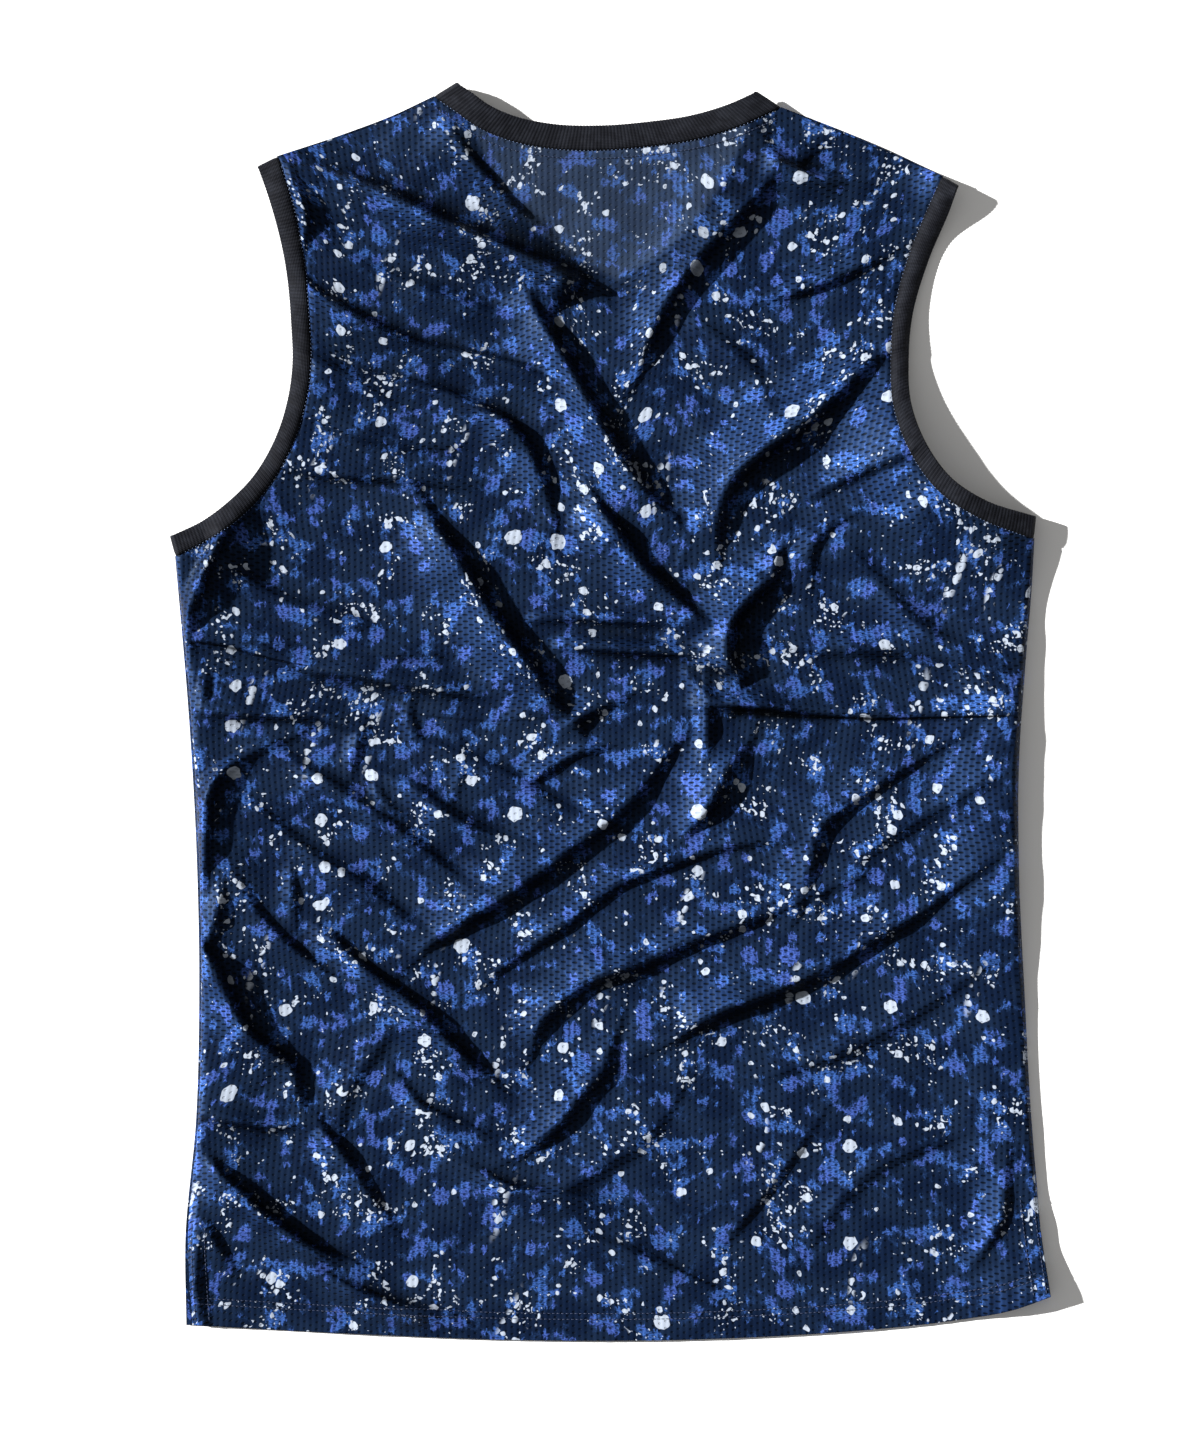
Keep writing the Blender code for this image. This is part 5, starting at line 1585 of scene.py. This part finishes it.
        # painted shade: the front is darkened towards its left, where its edge peeks out from under the back
        plain["seen_rib_and_painted_shade"] = smooth_step((flat[:, 0] - 0.3 * flat[:, 1] + 0.12) / -0.05)
        front = self.add("front_panel", front_plan, self.front_surface(flat), material, plain)
        log.info("front panel: %d points", len(flat))
        back_plan = self.plan(1.0, (BACK_NECK_SEAM,), np.array(LEFT_SIDE), np.array(HEM))
        flat = back_plan.reshape(-1, 2)
        single, under = self.see_through(flat)
        crease, near = self.creased(flat)
        values = {
            "single_layer": single,
            "seen_rib_and_painted_shade": under,
            "crease": crease,
            "crease_near": near,
            # how much sky each point sees, from which the finish paints shade in hollows
            "open_sky": self.lay.relief.sampled(self.lay.relief.open_sky, flat),
        }
        back = self.add("back_panel", back_plan, self.back_surface(flat), material, values)
        log.info("back panel: %d points", len(flat))
        return front, back


class RibName(Enum):
    """The three ribs, by the names of their solids."""

    NECK = "neck_rib"
    ARM_LEFT = "armhole_rib_left"
    ARM_RIGHT = "armhole_rib_right"


class Crown(NamedTuple):
    """How an armhole's rib is crowned along it: how high, from which share on, and how soon."""

    height: float
    start: float
    rise: float


@dataclass
class RibBand:
    """A band of rib, folded over lengthwise and joined in a ring round an opening."""

    lay: Lay
    section_step: float = 0.00040
    wale_pitch: float = 0.0020
    wale_relief: float = 0.00022
    leg: float = 0.00042
    knit: float = 0.00070
    neck_crown: float = 0.0006
    left_crown: Crown = Crown(0.0014, 0.05, 0.20)
    right_crown: Crown = Crown(0.0024, 0.38, 0.16)
    flat_crown: float = 0.0005
    crown_end: float = 0.04
    crown_turn: float = 0.03
    tuck: float = 0.0004
    dip: float = 0.00045
    dip_reach: float = 0.0012
    turn_reach: float = 0.0022
    turn_sections: int = 12
    leg_columns: int = 10
    fold_columns: int = 5
    wale_power: float = 0.7
    crown_power: float = 0.8
    seam_reach: float = 0.0009
    seam_groove: float = 1.2
    groove_most: float = 1.8

    def strip(
        self, edge: Sequence[Sequence[float]], seam: Array, over: HeightOf, ends: tuple[bool, bool]
    ) -> Array:
        """The middle surface of one strip of the ring.

        Args:
            edge: the strip's free edge.
            seam: its seam with the panel.
            over: the height of the layer's underside.
            ends: whether its start and its end leave room for a turn.

        Returns:
            Sections of two points, on the seam and on the edge.
        """
        knots = np.array([(p[0], p[1]) for p in edge])
        length = np.linalg.norm(np.diff(knots, axis=0), axis=1).sum()
        trim = self.turn_reach / length
        start, end = trim * ends[0], 1.0 - trim * ends[1]
        shares = np.linspace(start, end, max(8, round(length / self.section_step)))
        outer = smooth_curve(edge, shares)
        inner = smooth_curve(seam, shares)
        plan = np.stack([inner, outer], axis=1)
        flat = plan.reshape(-1, 2)
        return np.column_stack([flat, over(flat) + 0.5 * RIB]).reshape(plan.shape[:2] + (3,))

    def turn(self, last: Array, first: Array, before: Array) -> Array:
        """The half circle of sections from the end of a strip to the start of the next, over or under it."""
        section = (last[1] - last[0])[:2]
        square = np.array([section[1], -section[0]]) / np.linalg.norm(section)
        towards = square * np.sign(square @ (last - before).mean(axis=0)[:2])
        angles = (np.pi * np.arange(1, self.turn_sections) / self.turn_sections)[:, None, None]
        out = np.append(towards, 0.0) * (self.turn_reach - 0.5 * RIB)
        centre, half = 0.5 * (last + first), 0.5 * (last - first)
        return centre[None] + half[None] * np.cos(angles) + out * np.sin(angles)

    def ring(self, upper: Array, lower: Array) -> Array:
        """The upper strip, a turn, the lower strip and a turn back."""
        far = self.turn(upper[-1], lower[0], upper[-2])
        near = self.turn(lower[-1], upper[0], lower[-2])
        return np.concatenate([upper, far, lower, near])

    def crowns(self, name: RibName, count: int, upper: int) -> Array:
        """How much the outer leg is crowned at each section: only along the upper strip, which is first."""
        share = np.arange(count) / upper
        above = smooth_step((1.0 - share) / self.crown_turn)
        if name is RibName.NECK:
            return self.neck_crown * above
        crown = self.left_crown if name is RibName.ARM_LEFT else self.right_crown
        body = smooth_step((share - crown.start) / crown.rise)
        body *= 1.0 - smooth_step((share - (1.0 - self.crown_end)) / self.crown_end)
        return (self.flat_crown + (crown.height - self.flat_crown) * body) * above

    def folded(self, ring: Array, crown: Array, up_at: int) -> tuple[Array, Array, Array]:
        """The folded strip round its ring.

        Across it, the strip runs from the seam along the outer leg, round the fold at the
        edge in a half circle and back along the inner leg. The outer leg is crowned, sinks
        at the seam, and rises and falls with the wales, which stand across the band.

        Args:
            ring: the ring's sections.
            crown: how much the outer leg is crowned at each.
            up_at: the number of a section whose outer side looks up.

        Returns:
            The points, the places on the cloth and how deep each point lies in a groove, which sets the
            painted shade in the rib's colour.
        """
        middle = ring.mean(axis=1)
        along = unit(np.roll(middle, -1, axis=0) - np.roll(middle, 1, axis=0))
        across = ring[:, 1] - ring[:, 0]
        width = np.linalg.norm(across, axis=1)[:, None]
        across = across / width
        outward = unit(np.cross(along, across))
        flip = outward[up_at, 2] > 0.0
        outward *= 1.0 if flip else -1.0
        run = run_along(middle)
        whole = run[-1] + np.linalg.norm(middle[0] - middle[-1])
        wales = round(whole / self.wale_pitch)
        wale = (0.5 + 0.5 * np.cos(2.0 * np.pi * wales * run / whole))[:, None] ** self.wale_power
        t = np.linspace(0.0, 1.0, self.leg_columns)[None]
        bend = np.linspace(0.5 * np.pi, -0.5 * np.pi, self.fold_columns + 2)[None, 1:-1]
        reach = width - self.leg
        outer_q = -self.tuck + t * (reach + self.tuck)
        sink = self.dip * bell(outer_q, self.dip_reach)
        swell = self.wale_relief * (wale - 0.5)
        outer_h = self.leg + crown[:, None] * np.sin(np.pi * t) ** self.crown_power - sink + swell
        radius = self.leg + swell
        fold_q = reach + radius * np.cos(bend)
        fold_h = radius * np.sin(bend)
        inner_q = outer_q[:, ::-1]
        q = np.concatenate([outer_q, fold_q, inner_q], axis=1)
        h = np.concatenate([outer_h, fold_h, np.full_like(inner_q, -self.leg)], axis=1)
        points = drawn_in(ring[:, :1] + across[:, None] * q[..., None] + outward[:, None] * h[..., None])
        round_fold = reach + self.leg * (0.5 * np.pi - bend)
        travelled = np.concatenate([outer_q, round_fold, 2 * reach - inner_q], axis=1)
        places = np.stack([np.broadcast_to(run[:, None], q.shape), travelled], axis=-1)
        # how deep each point lies in a groove, between the wales or at the seam, for painted shade
        groove = np.broadcast_to(1.0 - wale, q.shape) * (h > -0.5 * self.leg)
        groove = np.clip(groove + self.seam_groove * bell(q, self.seam_reach), 0.0, self.groove_most)
        if flip:
            return points[:, ::-1], places[:, ::-1], groove[:, ::-1]
        return points, places, groove

    def rings(self, name: RibName) -> tuple[Array, int]:
        """The ring of one rib, and the number of a section at the middle of its upper strip."""
        back, front = self.lay.back, self.lay.front
        if name is RibName.NECK:
            upper = self.strip(BACK_NECK, BACK_NECK_SEAM, back, (True, True))
            right = self.strip(RIGHT_V, RIGHT_V_SEAM, front, (True, False))
            left = self.strip(LEFT_V, LEFT_V_SEAM, front, (True, False))
            lower = np.concatenate([right, left[::-1][1:]])
        else:
            left_side = name is RibName.ARM_LEFT
            edge = LEFT_ARMHOLE if left_side else RIGHT_ARMHOLE
            seam = LEFT_ARM_SEAM if left_side else RIGHT_ARM_SEAM
            upper = self.strip(edge, seam, back, (True, True))
            lower = self.strip(edge, seam, front, (True, True))[::-1]
        return self.ring(upper, lower), len(upper) // 2

    def build(self, name: RibName, material: bpy.types.Material) -> bpy.types.Object:
        """Makes one rib, in place of its solid."""
        ring, up_at = self.rings(name)
        points, places, groove = self.folded(ring, self.crowns(name, len(ring), 2 * up_at), up_at)
        mesh = ring_mesh(name.value + "_band", points)
        set_uv(mesh, places)
        set_values(mesh, "groove", groove)
        piece = add_piece(mesh, material)
        add_wall(piece, self.knit)
        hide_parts(name.value)
        return piece


@dataclass
class Stitches:
    """Rows of sewing stitches on a panel, each stitch a small arched bead of thread."""

    surface: HeightOf
    pitch: float = 0.0026
    length: float = 0.0021
    radius: float = 0.00022
    arch: float = 0.00014
    stand: float = 0.00045
    sides: int = 6
    profile: tuple[tuple[float, float], ...] = (
        (-0.5, 0.3),
        (-0.33, 0.85),
        (0.0, 1.0),
        (0.33, 0.85),
        (0.5, 0.3),
    )
    look: float = 0.0005
    tilt: float = 0.0006

    def places(self, path: Array) -> tuple[Array, Array, Array]:
        """Where the stitches of a row are.

        Args:
            path: the row's plan, as a fine chain of points.

        Returns:
            For each stitch its middle on the surface, the row's direction and the
            surface's normal.
        """
        line = np.column_stack([path, self.surface(path)])
        run = run_along(line)
        at = np.arange(0.5 * self.pitch, run[-1], self.pitch)
        steps = (0.0, self.look, -self.look)
        middle, ahead, behind = (at_lengths(at + step, run, line) for step in steps)
        flat, small = middle[:, :2], self.tilt * np.eye(2)
        slope = [(self.surface(flat + s) - self.surface(flat - s)) / (2.0 * self.tilt) for s in small]
        normal = unit(np.stack([-slope[0], -slope[1], np.ones(len(at))], axis=1))
        return drawn_in(middle), unit(ahead - behind), normal

    def beads(self, path: Array) -> tuple[Array, Array, Array]:
        """The points, quads and end faces of one row.

        A stitch is a tube of rings whose radius follows the profile; its middle line is a
        parabola that dives into the cloth at both ends.
        """
        middle, along, normal = self.places(path)
        beside = np.cross(normal, along)
        table = np.array(self.profile)
        turns = 2.0 * np.pi * np.arange(self.sides) / self.sides
        x = table[:, 0][:, None]
        ring = table[:, 1][:, None] * self.radius
        forward = np.broadcast_to(x * self.length, (len(table), self.sides))
        aside = ring * np.cos(turns)
        above = self.stand + self.arch * (1.0 - 8.0 * x**2) + ring * np.sin(turns)
        parts = [(along, forward), (beside, aside), (normal, above)]
        offset = sum(axis[:, None, None] * part[None, ..., None] for axis, part in parts)
        points = middle[:, None, None] + offset
        rings, sides, count = len(table), self.sides, len(middle)
        index = np.arange(rings * sides).reshape(rings, sides)
        after = np.roll(index, -1, axis=1)
        quads = np.stack([index[:-1], index[1:], after[1:], after[:-1]], axis=-1).reshape(-1, 4)
        caps = np.stack([index[0], index[-1][::-1]])
        first = (np.arange(count) * rings * sides)[:, None, None]
        quads, caps = quads[None] + first, caps[None] + first
        return points.reshape(-1, 3), quads.reshape(-1, 4), caps.reshape(-1, sides)

    def build(
        self, name: str, paths: Sequence[Array], material: bpy.types.Material, slot: str
    ) -> bpy.types.Object:
        """Makes all stitches of several rows as one piece."""
        points, faces, first = [], [], 0
        for path in paths:
            row, quads, caps = self.beads(path)
            points.append(row)
            faces += (quads + first).tolist() + (caps + first).tolist()
            first += len(row)
        mesh = new_mesh(name, np.concatenate(points), faces)
        mesh.shade_smooth()
        log.info("%s: %d faces", name, len(faces))
        return add_piece(mesh, material)


def beside(line: Array, distance: float) -> Array:
    """A fine chain moved sideways, to its left as it runs, by a distance."""
    along = unit(np.gradient(line, axis=0))
    return line + distance * np.stack([-along[:, 1], along[:, 0]], axis=1)


@dataclass
class Sewing:
    """All the stitching that shows: hem, vents, the neck's top stitch and the ribs' seams."""

    panels: Panels
    hem_rows: tuple[float, float] = (0.0125, 0.0158)
    hem_start: float = 0.004
    vent_rows: tuple[float, float] = (0.0022, 0.0098)
    neck_row: float = 0.0050
    seam_row: float = 0.0005
    hem_points: int = 400
    vent_start: float = 0.002
    vent_points: int = 80
    seam_start: float = 0.02
    seam_points: int = 300

    def build(self, thread: bpy.types.Material, pale: bpy.types.Material) -> list[bpy.types.Object]:
        """Makes the rows and returns the pieces."""
        surface = self.panels.back_surface
        bold = Stitches(surface)
        shares = np.linspace(self.hem_start, 1.0 - self.hem_start, self.hem_points)
        hem = smooth_curve(HEM, shares)
        hems = [beside(hem, row) for row in self.hem_rows]
        hem_piece = bold.build("hem_stitches", hems, thread, "mesh_knit")
        rows = []
        for line, side in ((LEFT_SIDE, Side.RIGHT), (RIGHT_SIDE, Side.LEFT)):
            whole = np.linalg.norm(np.diff(np.array(line), axis=0), axis=1).sum()
            places = np.linspace(self.vent_start, VENT_HEIGHT, self.vent_points)
            vent = smooth_curve(line, places / whole)
            rows += [beside(vent, side.value * row) for row in self.vent_rows]
        vent_piece = bold.build("vent_stitches", rows, thread, "mesh_knit")
        fine = np.linspace(self.seam_start, 1.0 - self.seam_start, self.seam_points)
        top = smooth_curve(BACK_NECK_SEAM, fine)
        neck = Stitches(surface, pitch=0.0024, length=0.0019, radius=0.00018)
        neck_piece = neck.build("neck_stitches", [beside(top, -self.neck_row)], thread, "mesh_knit")
        seams = (
            beside(smooth_curve(LEFT_ARM_SEAM, fine), -self.seam_row),
            beside(smooth_curve(RIGHT_ARM_SEAM, fine), self.seam_row),
            beside(top, -self.seam_row),
        )
        small = Stitches(surface, pitch=0.0023, length=0.0010, radius=0.00016, stand=0.00035)
        seam_piece = small.build("seam_stitches", seams, pale, "mesh_knit")
        return [hem_piece, vent_piece, neck_piece, seam_piece]


@dataclass
class Studio:
    """A white floor, a low key light from the left, a weak sky and a camera straight above."""

    frame_height: float = 0.8315
    sensor_mm: float = 36.0
    key: float = 10.4
    key_softness: float = math.radians(1.5)
    sky: float = 0.32
    floor_size: float = 16.0
    floor_white: Colour = (0.90, 0.895, 0.885)
    floor_drop: float = 0.0002
    tint: Colour = (1.0, 0.995, 0.985)

    def add_camera(self) -> None:
        """A long lens above the middle of the frame, looking straight down."""
        data = bpy.data.cameras.new("camera")
        data.sensor_width = self.sensor_mm
        data.lens = self.sensor_mm * CAMERA_HEIGHT / self.frame_height
        camera = bpy.data.objects.new("camera", data)
        camera.location = (*FRAME_MIDDLE, CAMERA_HEIGHT)
        bpy.context.scene.collection.objects.link(camera)
        bpy.context.scene.camera = camera

    def add_light(self) -> None:
        """A low hard key, which travels along the rake, and an even sky."""
        data = bpy.data.lights.new("key", "SUN")
        data.energy = self.key
        data.angle = self.key_softness
        data.color = self.tint
        light = bpy.data.objects.new("key", data)
        light.rotation_euler = (0.0, math.pi / 2.0 - LIGHT_ELEVATION, math.atan2(-RAKE[1], -RAKE[0]))
        bpy.context.scene.collection.objects.link(light)
        world = bpy.data.worlds.new("sky")
        world.use_nodes = True
        background = world.node_tree.nodes["Background"]
        background.inputs["Color"].default_value = (*self.tint, 1.0)
        background.inputs["Strength"].default_value = self.sky
        bpy.context.scene.world = world

    def add_floor(self) -> None:
        """The plain pale floor that the garment lies on."""
        half, level = 0.5 * self.floor_size, CAD_BOX[0].z - self.floor_drop
        corners = [(-half, -half, level), (half, -half, level), (half, half, level), (-half, half, level)]
        floor = bpy.data.objects.new("floor", new_mesh("floor", np.array(corners), [[0, 1, 2, 3]]))
        shade = Shading("floor")
        shade.finish(self.floor_white, roughness=0.9, specular=0.0)
        floor.data.materials.append(shade.material)
        bpy.context.scene.collection.objects.link(floor)

    def build(self) -> None:
        """Sets the studio up, with plain display colours."""
        self.add_camera()
        self.add_light()
        self.add_floor()
        bpy.context.scene.view_settings.view_transform = "Standard"


def main() -> None:
    """Builds the garment and its studio, and reports each piece."""
    logging.basicConfig(level=logging.INFO, format="%(name)s: %(message)s")
    Studio().build()
    lay = Lay(Relief())
    log.info("folds: up to %.1f mm high", lay.relief.heights.max() / MM)
    knit = PrintedKnit().build()
    panels = Panels(lay)
    front, back = panels.build(knit)
    rib_knit = RibKnit().build()
    band = RibBand(lay)
    ribs = [band.build(name, rib_knit) for name in RibName]
    thread = Thread("navy_thread", (0.012, 0.020, 0.050)).build()
    pale = Thread("pale_thread", (0.10, 0.14, 0.24)).build()
    stitches = Sewing(panels).build(thread, pale)
    log.info("%d ribs and %d groups of stitches", len(ribs), len(stitches))


if __name__ == "__main__":
    main()
